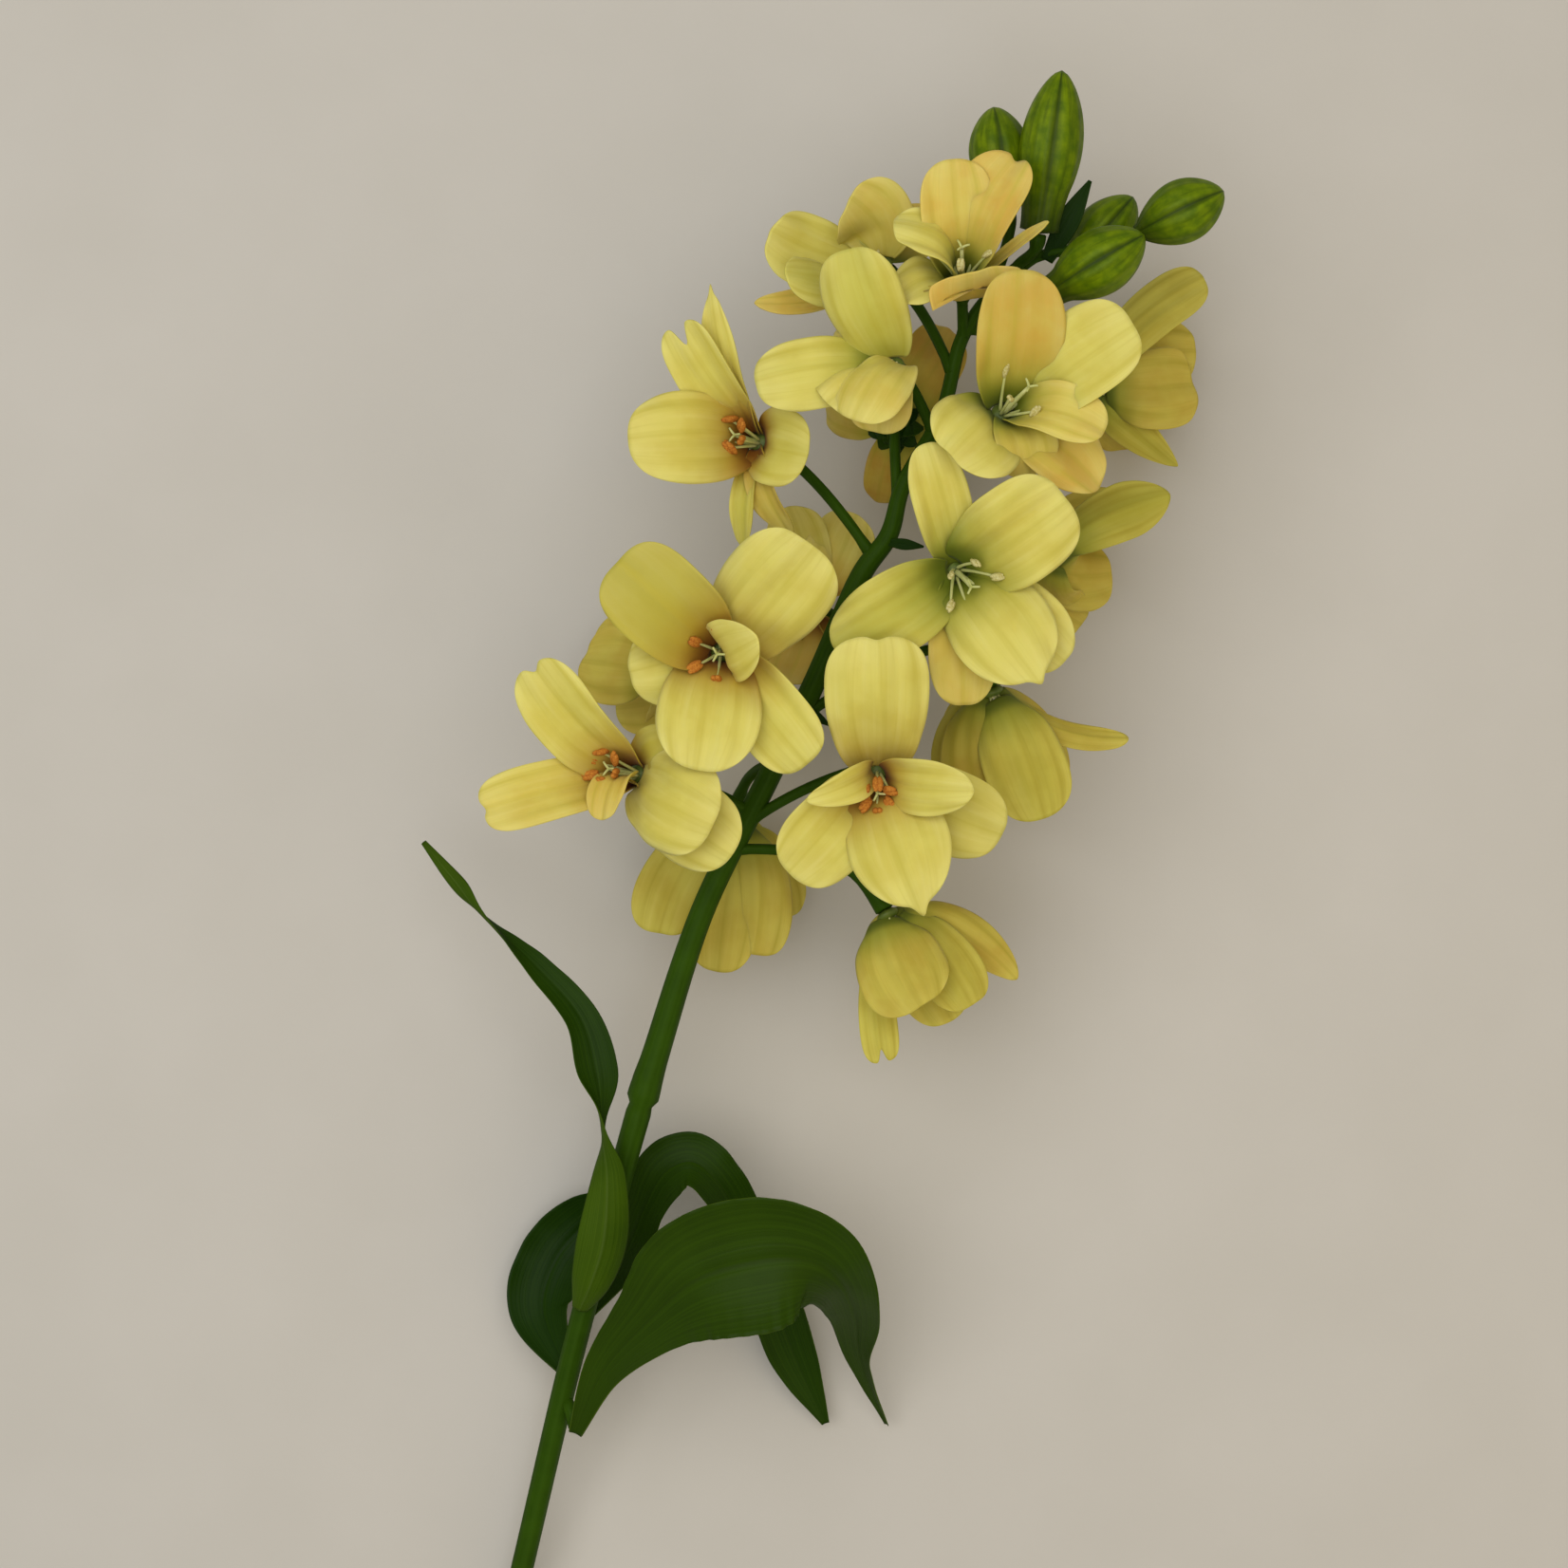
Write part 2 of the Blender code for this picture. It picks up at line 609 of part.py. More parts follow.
def join_into(body, extras):
    # One Boolean union of the extras' collection onto the body, then applied
    union = body.modifiers.new("union", "BOOLEAN")
    union.operation = "UNION"
    union.operand_type = "COLLECTION"
    union.collection = extras
    union.solver = "MANIFOLD"
    bpy.context.view_layer.update()
    graph = bpy.context.evaluated_depsgraph_get()
    joined = bpy.data.meshes.new_from_object(body.evaluated_get(graph))
    body.modifiers.clear()
    body.data = joined
    for extra in list(extras.objects):
        bpy.data.objects.remove(extra, do_unlink=True)
    bpy.data.collections.remove(extras)


def finish(thing, material, angle=40.0):
    thing.data.materials.clear()
    thing.data.materials.append(material)
    thing.data.shade_smooth()
    thing.data.set_sharp_from_angle(angle=math.radians(angle))


def temporary_collection():
    extras = bpy.data.collections.new("repeats")
    bpy.context.scene.collection.children.link(extras)
    return extras


def make_petals(letter, collection, material):
    bloom = BLOOMS[letter]
    turn = turned_to(bloom["faces"])
    bm = bmesh.new()
    bmesh.ops.create_uvsphere(bm, u_segments=CORE_SIDES, v_segments=4, radius=CORE_RADIUS * MM)
    for vert in bm.verts:
        if vert.co.z < 0:
            vert.co.z *= CORE_BACK / CORE_RADIUS
    bmesh.ops.transform(bm, matrix=Matrix.Translation(Vector(bloom["at"]) * MM) @ turn, verts=bm.verts)
    body = link_mesh("bloom_" + letter + "_petals", bm, collection)
    extras = temporary_collection()
    hidden = bloom.get("hidden", False)
    for index, tepal in enumerate(bloom["tepals"]):
        narrow = tepal[1] < (HIDDEN_NARROW_BELOW if hidden else NARROW_BELOW)
        middling = hidden or tepal[1] < MIDDLING_BELOW
        across = NARROW_ACROSS if narrow else MIDDLING_ACROSS if middling else TEPAL_ACROSS
        along = HIDDEN_ALONG if hidden or narrow else TEPAL_ALONG
        sheet("tepal", across, along, tepal_place(bloom, index), TEPAL_THICKNESS, extras)
    join_into(body, extras)
    finish(body, material)
    return body


def make_stamens(letter, collection, material):
    # Six-sided hub on the receptacle: a filament grows from each side, the style from its top
    bloom = BLOOMS[letter]
    bm = bmesh.new()
    bmesh.ops.create_cone(
        bm, cap_ends=True, segments=STAMEN_COUNT, radius1=STAMEN_HUB_RADIUS * MM,
        radius2=STAMEN_HUB_TOP * MM, depth=STAMEN_HUB_HEIGHT * MM)
    grown = [face for face in bm.faces if face.normal.z > -0.5]
    made = bmesh.ops.extrude_discrete_faces(bm, faces=grown)
    spread = math.radians(bloom.get("stamen_spread", STAMEN_SPREAD))
    for face in made["faces"]:
        middle = face.calc_center_median()
        outward = Vector((middle.x, middle.y, 0))
        length = bloom.get("stamen_length", STAMEN_LENGTH)
        heading = Vector((0, 0, 1))
        if outward.length > STAMEN_END * MM:
            heading = outward.normalized() * math.sin(spread) + heading * math.cos(spread)
        else:
            length += STYLE_LENGTH - STAMEN_LENGTH
        tip = middle + heading * length * MM
        size = max((vert.co - middle).length for vert in face.verts)
        for vert in face.verts:
            vert.co = tip + (vert.co - middle) * STAMEN_END * MM / size
    lift = Matrix.Translation(Vector((0, 0, CORE_RADIUS + GAP + STAMEN_HUB_HEIGHT / 2)) * MM)
    seat = Vector(bloom["at"]) + Vector(bloom.get("stamens_moved", (0, 0, 0)))
    place = Matrix.Translation(seat * MM) @ turned_to(bloom["faces"]) @ lift
    bmesh.ops.transform(bm, matrix=place, verts=bm.verts)
    thing = link_mesh("bloom_" + letter + "_stamens", bm, collection)
    finish(thing, material, 60.0)
    return thing


def tube(name, points, radii, level, collection):
    # Round rod through the points, closed at both ends, as a mesh
    curve = bpy.data.curves.new(name, "CURVE")
    curve.dimensions = "3D"
    curve.bevel_depth = MM
    curve.bevel_resolution = level
    curve.use_fill_caps = True
    spline = curve.splines.new("POLY")
    spline.points.add(len(points) - 1)
    for point, place, radius in zip(spline.points, points, radii):
        point.co = (*(Vector(place) * MM), 1.0)
        point.radius = radius
    guide = bpy.data.objects.new(name, curve)
    collection.objects.link(guide)
    bpy.context.view_layer.update()
    graph = bpy.context.evaluated_depsgraph_get()
    mesh = bpy.data.meshes.new_from_object(guide.evaluated_get(graph))
    bm = bmesh.new()
    bm.from_mesh(mesh)
    bmesh.ops.remove_doubles(bm, verts=bm.verts, dist=1e-6)
    bmesh.ops.recalc_face_normals(bm, faces=bm.faces[:])
    bpy.data.objects.remove(guide, do_unlink=True)
    return link_mesh(name, bm, collection)


def stalk(name, start, end, arrives, cap_radius, by, collection):
    # Curved stalk from the stem to a cap that it meets along the arrival way,
    # with its middle moved aside by some millimetres
    neck = end - arrives * STALK_CAP_LENGTH
    reach = (neck - start).length
    first = start + (neck - start) * STALK_PULL_START + Vector((0, STALK_RISE, 0)) * reach + Vector(by)
    second = neck - arrives * reach * STALK_PULL_END + Vector(by)
    points = []
    radii = []
    for index in range(STALK_POINTS):
        t = index / (STALK_POINTS - 1)
        place = start * (1 - t) ** 3 + first * 3 * t * (1 - t) ** 2
        place += second * 3 * t * t * (1 - t) + neck * t ** 3
        points.append(place)
        radii.append(STALK_RADIUS + (cap_radius - STALK_RADIUS) * swing(t, STALK_FLARE_FROM, 1.0))
    points.append(end)
    radii.append(cap_radius)
    return tube(name, points, radii, STALK_SIDES_LEVEL, collection)


def make_stem(collection, material):
    stations = [smooth_curve(STEM, 0.0)]
    for piece, (start, end) in enumerate(zip(STEM, STEM[1:])):
        steps = max(1, round((Vector(end[:3]) - Vector(start[:3])).length / STEM_STEP))
        for step in range(1, steps + 1):
            stations.append(smooth_curve(STEM, (piece + step / steps) / (len(STEM) - 1)))
    points = [station[:3] for station in stations]
    radii = [station[3] for station in stations]
    body = tube("stem", points, radii, STEM_SIDES_LEVEL, collection)
    extras = temporary_collection()
    for letter, bloom in BLOOMS.items():
        facing = Vector(bloom["faces"]).normalized()
        end = Vector(bloom["at"]) - facing * (CORE_BACK + GAP)
        start = stem_at(bloom["stalk_from"])
        by = bloom.get("stalk_by", (0, 0, 0))
        stalk("stalk_" + letter, start, end, facing, STALK_CAP_RADIUS, by, extras)
    for name, (base, tip, _, _, leaves_at) in BUDS.items():
        heading = (Vector(tip) - Vector(base)).normalized()
        end = Vector(base) - heading * GAP
        stalk("stalk_" + name, stem_at(leaves_at), end, heading, BUD_CAP_RADIUS, (0, 0, 0), extras)
    ring_along = Vector(RING_ALONG).normalized() * RING_LENGTH / 2
    middle = Vector(RING_AT)
    ring_ends = [middle - ring_along, middle + ring_along]
    tube("ring", ring_ends, [RING_RADIUS, RING_RADIUS], RING_SIDES_LEVEL, extras)
    tube("stub", STUB, [STUB_RADIUS] * len(STUB), STEM_SIDES_LEVEL, extras)
    for root, tip, half in BRACTS:
        belly = Vector(root).lerp(Vector(tip), 0.5)
        ends = (half * BRACT_ROOT_SHARE, half * BRACT_TIP_SHARE)
        stations = [(*root, ends[0], 0), (*belly, half, 0), (*tip, ends[1], 0)]
        sheet("bract", BRACT_ACROSS, BRACT_ALONG, leaf_place(stations, BRACT_CUP), LEAF_THICKNESS, extras)
    join_into(body, extras)
    finish(body, material)
    return body


def leaf_place(stations, cup):
    # Function of u and v that gives a leaf's middle surface
    def place(u, v):
        x, y, z, half, turn = smooth_curve(stations, u)
        ahead = smooth_curve(stations, u + LEAF_STEP)
        behind = smooth_curve(stations, u - LEAF_STEP)
        heading = (Vector(ahead[:3]) - Vector(behind[:3])).normalized()
        up = (Vector((0, 0, 1)) - heading * heading.z).normalized()
        roll = Matrix.Rotation(math.radians(turn), 3, heading)
        up = roll @ up
        across = heading.cross(up)
        bend = math.radians(cup)
        lift = half * (1 - math.cos(bend * v)) / bend
        return Vector((x, y, z)) + across * (half * math.sin(bend * v) / bend) + up * lift

    return place


def make_leaf(name, collection, material):
    place = leaf_place(LEAVES[name], LEAF_CUP)
    thing = sheet(name, LEAF_ACROSS, LEAF_ALONG, place, LEAF_THICKNESS, collection)
    finish(thing, material)
    return thing


def bud_radius(t, club):
    # Share of the greatest radius at t, from the foot of the bud to its tip: widest
    # past the middle and blunt at the tip
    swell = math.sin(math.pi * min(t, 1.0) ** BUD_BELLY) ** BUD_BLUNTNESS
    shoulder = club + (1 - club) * swing(t, BUD_CLUB_FROM, BUD_CLUB_TO)
    shoulder = shoulder if club and t < 0.5 else 0.0
    neck = BUD_NECK if t < BUD_NECK_TO else 0.0
    return max(swell, shoulder, neck)


def make_bud(name, collection, material):
    base, tip, radius, club, _ = BUDS[name]
    base = Vector(base)
    axis = Vector(tip) - base
    bm = bmesh.new()
    bmesh.ops.create_uvsphere(bm, u_segments=BUD_SIDES, v_segments=BUD_RINGS, radius=1.0)
    for vert in bm.verts:
        t = 0.5 + math.asin(max(-1.0, min(1.0, vert.co.z))) / math.pi
        turn = math.atan2(vert.co.y, vert.co.x)
        wide = 0.0
        if abs(vert.co.z) < BUD_POLE:
            seam = BUD_SEAM * (0.5 + 0.5 * math.cos(BUD_SEAMS * turn))
            wide = radius * bud_radius(t, club) * (1 - seam)
        vert.co = Vector((wide * math.cos(turn), wide * math.sin(turn), t * axis.length)) * MM
    matrix = Matrix.Translation(base * MM) @ turned_to(axis)
    bmesh.ops.transform(bm, matrix=matrix, verts=bm.verts)
    thing = link_mesh(name, bm, collection)
    finish(thing, material)
    return thing


def set_down(things):
    # Moves a resting bloom along Z until its lowest point is on the surface
    lowest = min(vert.co.z for thing in things for vert in thing.data.vertices)
    for thing in things:
        for vert in thing.data.vertices:
            vert.co.z -= lowest


def main():
    clear_scene()
    collection = bpy.data.collections.new(NAME)
    bpy.context.scene.collection.children.link(collection)
    materials = {kind: make_material(kind) for kind in COLOURS}
    things = [make_stem(collection, materials["stem"])]
    for letter in BLOOMS:
        petals = make_petals(letter, collection, materials["tepal"])
        stamens = make_stamens(letter, collection, materials["stamen"])
        if BLOOMS[letter].get("rests"):
            set_down([petals, stamens])
        things += [petals, stamens]
    things += [make_bud(name, collection, materials["bud"]) for name in BUDS]
    things += [make_leaf(name, collection, materials["leaf"]) for name in LEAVES]
    frame = bpy.data.objects.new("laid_flower", None)
    collection.objects.link(frame)
    frame.rotation_euler = (0, 0, math.radians(LEAN))
    frame.location = (-ORIGIN_X * MM, -ORIGIN_Y * MM, 0)
    for thing in things:
        thing.parent = frame
    bpy.context.view_layer.update()


main()
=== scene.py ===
# A cut fritillaria laid on a pale surface: its tepals, stamens, stem, leaves and buds,
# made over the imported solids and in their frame.
import math
import bmesh
import bpy
from mathutils import Matrix, Vector, noise


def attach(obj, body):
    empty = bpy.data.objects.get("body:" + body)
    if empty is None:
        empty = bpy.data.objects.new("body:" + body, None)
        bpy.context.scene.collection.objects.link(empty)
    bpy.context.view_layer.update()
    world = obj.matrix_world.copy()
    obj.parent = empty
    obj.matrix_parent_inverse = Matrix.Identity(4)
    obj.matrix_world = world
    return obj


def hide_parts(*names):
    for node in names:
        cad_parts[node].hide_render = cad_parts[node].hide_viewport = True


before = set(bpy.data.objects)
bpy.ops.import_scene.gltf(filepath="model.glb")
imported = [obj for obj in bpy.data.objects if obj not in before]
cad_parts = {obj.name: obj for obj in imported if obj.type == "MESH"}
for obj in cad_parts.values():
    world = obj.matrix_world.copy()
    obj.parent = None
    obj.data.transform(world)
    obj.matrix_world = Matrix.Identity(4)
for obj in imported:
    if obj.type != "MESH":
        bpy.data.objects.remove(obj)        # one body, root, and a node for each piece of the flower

print("frame loaded:", len(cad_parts), "solids")
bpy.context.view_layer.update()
scene = bpy.context.scene

# Places are in millimetres on a drawing of the flower as it stands in the photo: X to the
# right, Y up, Z towards the viewer. The flower is then leant back to run along Y.
mm = 0.001
laid = {"lean": 21.5, "originX": 3.5, "originY": -57.5}
ontoSurface = (Matrix.Translation((-laid["originX"] * mm, -laid["originY"] * mm, 0))
               @ Matrix.Rotation(math.radians(laid["lean"]), 4, "Z") @ Matrix.Scale(mm, 4))


def ease(value, low, high):
    t = min(max((value - low) / (high - low), 0.0), 1.0)
    return t * t * (3 - 2 * t)


def bell(value, width):
    return math.exp(-(value / width) ** 2)


def alongCurve(stations, t):
    # smooth curve through the stations, t from 0 to 1
    last = len(stations) - 1
    spot = min(max(t, 0.0), 1.0) * last
    i = min(int(spot), last - 1)
    f = spot - i
    rows = stations[max(i - 1, 0)], stations[i], stations[i + 1], stations[min(i + 2, last)]
    out = []
    for a, b, c, d in zip(*rows):
        out.append(0.5 * (2 * b + (c - a) * f + (2 * a - 5 * b + 4 * c - d) * f * f
                          + (3 * b - 3 * c + d - a) * f ** 3))
    return out


def arcAcross(wide, bend, v):
    # a blade bent into an arc across its width: how far sideways and how far lifted
    if abs(bend) < 0.01:
        return wide * v, 0.0
    return wide * math.sin(bend * v) / bend, wide * (1 - math.cos(bend * v)) / bend


def turnedTo(axis):
    return Vector((0, 0, 1)).rotation_difference(Vector(axis).normalized()).to_matrix().to_4x4()


def newMesh():
    bm = bmesh.new()
    bm.loops.layers.uv.new("UVMap")
    bm.verts.layers.float_color.new("tint")
    bm.verts.layers.float.new("throat")
    bm.verts.layers.deform.verify()
    return bm


def shapedSheet(bm, across, along, place, tint=(0, 0, 0, 1), material=0, throat=1.0):
    # a grid bent into shape: place(u, v) gives each point, u along it, v from -1 to 1 across
    tintLayer = bm.verts.layers.float_color["tint"]
    throatLayer = bm.verts.layers.float["throat"]
    flesh = bm.verts.layers.deform.active
    made = bmesh.ops.create_grid(bm, x_segments=across, y_segments=along, size=1.0, calc_uvs=True)
    for vert in made["verts"]:
        u = (vert.co.y + 1) / 2
        v = vert.co.x
        vert.co = place(u, v)
        vert[tintLayer] = tint(u, v) if callable(tint) else tint
        vert[throatLayer] = throat
        vert[flesh][0] = 1 - max(abs(v) ** 3 * ease(u, 0.0, 0.3), ease(u, 0.9, 1.0))
    for face in {face for vert in made["verts"] for face in vert.link_faces}:
        face.smooth = True
        face.material_index = material
    return made["verts"]


def closeUp(bm, verts):
    # joins the seam of a sheet that was rolled into a rod, and its open ends
    bmesh.ops.remove_doubles(bm, verts=verts, dist=0.001)
    rims = [edge for edge in bm.edges if edge.is_boundary]
    bmesh.ops.holes_fill(bm, edges=rims, sides=0)
    for face in bm.faces:
        face.smooth = True


def rod(bm, points, radii, sides, ribs=0, tint=(0, 0, 0, 1), material=0):
    # round rod through the points, its section carried along without twisting
    side = (points[1] - points[0]).orthogonal().normalized()
    sections = []
    for i, point in enumerate(points):
        heading = (points[min(i + 1, len(points) - 1)] - points[max(i - 1, 0)]).normalized()
        side = (side - heading * side.dot(heading)).normalized()
        sections.append((point, side, heading.cross(side)))

    def place(u, v):
        i = round(u * (len(points) - 1))
        point, first, second = sections[i]
        turn = math.pi * v
        radius = radii[i] * (1 + 0.02 * math.cos(ribs * turn)) if ribs else radii[i]
        return point + (first * math.cos(turn) + second * math.sin(turn)) * radius

    return shapedSheet(bm, sides, len(points) - 1, place, tint, material)


def putInPlace(name, bm, materials, node):
    bmesh.ops.transform(bm, matrix=ontoSurface, verts=bm.verts)
    mesh = bpy.data.meshes.new(name)
    bm.to_mesh(mesh)
    bm.free()
    piece = bpy.data.objects.new(name, mesh)
    scene.collection.objects.link(piece)
    for material in materials:
        mesh.materials.append(material)
    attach(piece, "root")
    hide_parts(node)
    return piece


def giveThickness(piece, thickness, edge):
    # a blade as thick as thickness at its middle and edge times that at its margin
    piece.vertex_groups.new(name="flesh")
    solid = piece.modifiers.new("thickness", "SOLIDIFY")
    solid.thickness = thickness * mm
    solid.offset = 0.0
    solid.vertex_group = "flesh"
    solid.thickness_vertex_group = edge
    solid.material_offset = 1
    solid.material_offset_rim = 1


# Materials

def fromHex(text):
    # sRGB hex to linear colour
    parts = [int(text[i:i + 2], 16) / 255 for i in (1, 3, 5)]
    return tuple(c / 12.92 if c <= 0.04045 else ((c + 0.055) / 1.055) ** 2.4 for c in parts) + (1.0,)


def addNode(tree, kind, inputs=None, **settings):
    node = tree.nodes.new("ShaderNode" + kind)
    for name, value in settings.items():
        setattr(node, name, value)
    for socket, value in (inputs or {}).items():
        if isinstance(value, bpy.types.NodeSocket):
            tree.links.new(value, node.inputs[socket])
        else:
            node.inputs[socket].default_value = value
    return node


def newMaterial(name, roughness, ior=1.45, **sockets):
    material = bpy.data.materials.new(name)
    material.use_nodes = True
    shader = material.node_tree.nodes["Principled BSDF"]
    shader.inputs["Roughness"].default_value = roughness
    shader.inputs["IOR"].default_value = ior
    for socket, value in sockets.items():
        shader.inputs[socket.replace("_", " ")].default_value = value
    return material, material.node_tree, shader


def layered(tree, base, layers):
    # colours laid one over another, each by its own mask
    colour = fromHex(base)
    for shade, mask in layers:
        colour = addNode(tree, "Mix", {0: mask, 6: colour, 7: fromHex(shade)}, data_type="RGBA").outputs[2]
    return colour


def petalSkin(name, look):
    # living tepal: soft and waxy, so it is matt with a faint bloom, and light that enters it
    # comes out again a little further on; soft streaks run along it
    # its colour also carries painted shade in the throat and on shaded tepals, and painted highlight in the
    # lighter tips, margins and streaks
    material, tree, shader = newMaterial(name, look["roughness"], 1.42, Subsurface_Weight=0.2,
                                         Subsurface_Radius=(1.0, 0.8, 0.25), Subsurface_Scale=0.0015,
                                         Sheen_Weight=0.04, Sheen_Roughness=0.5, Specular_IOR_Level=0.35)
    uv = addNode(tree, "UVMap", uv_map="UVMap")
    place = addNode(tree, "SeparateXYZ", {0: uv.outputs[0]})
    marks = addNode(tree, "Attribute", attribute_name="tint")
    tint = addNode(tree, "SeparateColor", {0: marks.outputs[0]})
    where = addNode(tree, "TexCoord").outputs["Object"]
    patches = addNode(tree, "TexNoise", {"Vector": where, "Scale": 1 / (11 * mm), "Detail": 3.0})
    fromMiddle = addNode(tree, "Math", {0: place.outputs[0], 1: 0.5}, operation="SUBTRACT")
    fromMiddle = addNode(tree, "Math", {0: fromMiddle.outputs[0]}, operation="ABSOLUTE")
    stretched = addNode(tree, "Mapping", {0: uv.outputs[0], 1: marks.outputs["Vector"], 3: (6.0, 0.5, 1.0)})
    streaks = addNode(tree, "TexNoise", {"Vector": stretched.outputs[0], "Scale": 1.0, "Detail": 2.0})
    fine = addNode(tree, "Mapping", {0: uv.outputs[0], 3: (46.0, 1.6, 1.0)})
    veins = addNode(tree, "TexNoise", {"Vector": fine.outputs[0], "Scale": 1.0, "Detail": 2.0})
    ranges = {
        "patch": (patches.outputs[0], 0.38, 0.66, "patch"),
        "streak": (streaks.outputs[0], 0.48, 0.68, "streak"),
        # glow, margin and tip lighten the tepal: partly paler tissue, partly painted highlight
        "glow": (streaks.outputs[0], 0.46, 0.32, "glow"),
        "vein": (veins.outputs[0], 0.5, 0.72, "vein"),
        "margin": (fromMiddle.outputs[0], 0.33, 0.5, "margin"),
        "tip": (place.outputs[1], 0.72, 1.0, "tip"),
        # throat and deep darken each tepal towards its root: partly the base's own green, gold or brown,
        # partly painted shade deep in the bloom
        "throat": (place.outputs[1], look["throatTo"], 0.05, "throat"),
        "deep": (place.outputs[1], look["deepTo"], 0.04, "deep")}
    masks = {}
    for mask, (value, low, high, most) in ranges.items():
        masks[mask] = addNode(tree, "MapRange", {0: value, 1: low, 2: high, 4: look[most]},
                              interpolation_type="SMOOTHSTEP").outputs[0]
    # orange gathers in soft patches towards the tip, green along the middle
    spread = addNode(tree, "MapRange", {0: patches.outputs[0], 1: 0.3, 2: 0.6, 3: 0.45, 4: 1.0})
    orange = addNode(tree, "Math", {0: spread.outputs[0], 1: tint.outputs[0]}, operation="MULTIPLY")
    nearMiddle = addNode(tree, "MapRange", {0: fromMiddle.outputs[0], 1: 0.42, 2: 0.05, 3: 0.35, 4: 1.0})
    green = addNode(tree, "Math", {0: nearMiddle.outputs[0], 1: tint.outputs[1]}, operation="MULTIPLY")
    colour = layered(tree, look["base"], [
        # the light colour on margins, tips and glow streaks is partly painted highlight
        (look["mid"], masks["patch"]), (look["light"], masks["margin"]), (look["light"], masks["tip"]),
        (look["light"], masks["glow"]), (look["orange"], orange.outputs[0]),
        # shade: painted shade, for tepals that lie in the shade of others
        (look["green"], green.outputs[0]), (look["shade"], tint.outputs[2]),
        (look["streakColour"], masks["streak"]), (look["streakColour"], masks["vein"])])
    # throat and deep colours: the base's own colour mixed with painted shade; the throat attribute sets how
    # much of them each tepal takes
    throat = addNode(tree, "Mix", {0: marks.outputs["Alpha"], 6: fromHex(look["throatGreen"]),
                                   7: fromHex(look["throatGold"])}, data_type="RGBA").outputs[2]
    deep = addNode(tree, "Mix", {0: marks.outputs["Alpha"], 6: fromHex(look["deepGreen"]),
                                 7: fromHex(look["deepBrown"])}, data_type="RGBA").outputs[2]
    depth = addNode(tree, "Attribute", attribute_name="throat").outputs["Fac"]
    for mask, shade in (("throat", throat), ("deep", deep)):
        amount = addNode(tree, "Math", {0: masks[mask], 1: depth}, operation="MULTIPLY")
        colour = addNode(tree, "Mix", {0: amount.outputs[0], 6: colour, 7: shade}, data_type="RGBA")
        colour = colour.outputs[2]
    tree.links.new(colour, shader.inputs["Base Color"])
    grain = addNode(tree, "TexNoise", {"Vector": where, "Scale": 1 / (0.9 * mm), "Detail": 3.0})
    relief = addNode(tree, "Math", {0: grain.outputs[0], 1: 0.5, 2: veins.outputs[0]},
                     operation="MULTIPLY_ADD")
    bump = addNode(tree, "Bump", {"Height": relief.outputs[0], "Strength": 0.12, "Distance": 0.15 * mm})
    tree.links.new(bump.outputs[0], shader.inputs["Normal"])
    return material


# In both looks the throat and deep colours mix the base's own colour with painted shade, shade is painted
# shade, and light is partly painted highlight
petalInside = petalSkin("tepal inside, waxy and pale yellow", {
    "roughness": 0.62, "base": "#dcd36a", "mid": "#cdc253", "light": "#e9e28a", "orange": "#dba746",
    "green": "#b0b43e", "shade": "#a39728", "streakColour": "#bdb038", "throatGreen": "#92942a",
    "throatGold": "#a8821c", "deepGreen": "#586608", "deepBrown": "#74420a", "patch": 0.6, "streak": 0.5,
    "glow": 0.5, "vein": 0.14, "margin": 0.3, "tip": 0.45, "throat": 0.9, "throatTo": 0.66, "deep": 0.95,
    "deepTo": 0.34})
petalOutside = petalSkin("tepal outside, waxy and straw yellow", {
    "roughness": 0.66, "base": "#ccc252", "mid": "#bbae3f", "light": "#d9cf6a", "orange": "#bd9434",
    "green": "#9fa42c", "shade": "#928522", "streakColour": "#a8992b", "throatGreen": "#8a9226",
    "throatGold": "#a08420", "deepGreen": "#546210", "deepBrown": "#6f5a14", "patch": 0.65, "streak": 0.6,
    "glow": 0.35, "vein": 0.18, "margin": 0.2, "tip": 0.2, "throat": 0.8, "throatTo": 0.5, "deep": 0.9,
    "deepTo": 0.17})


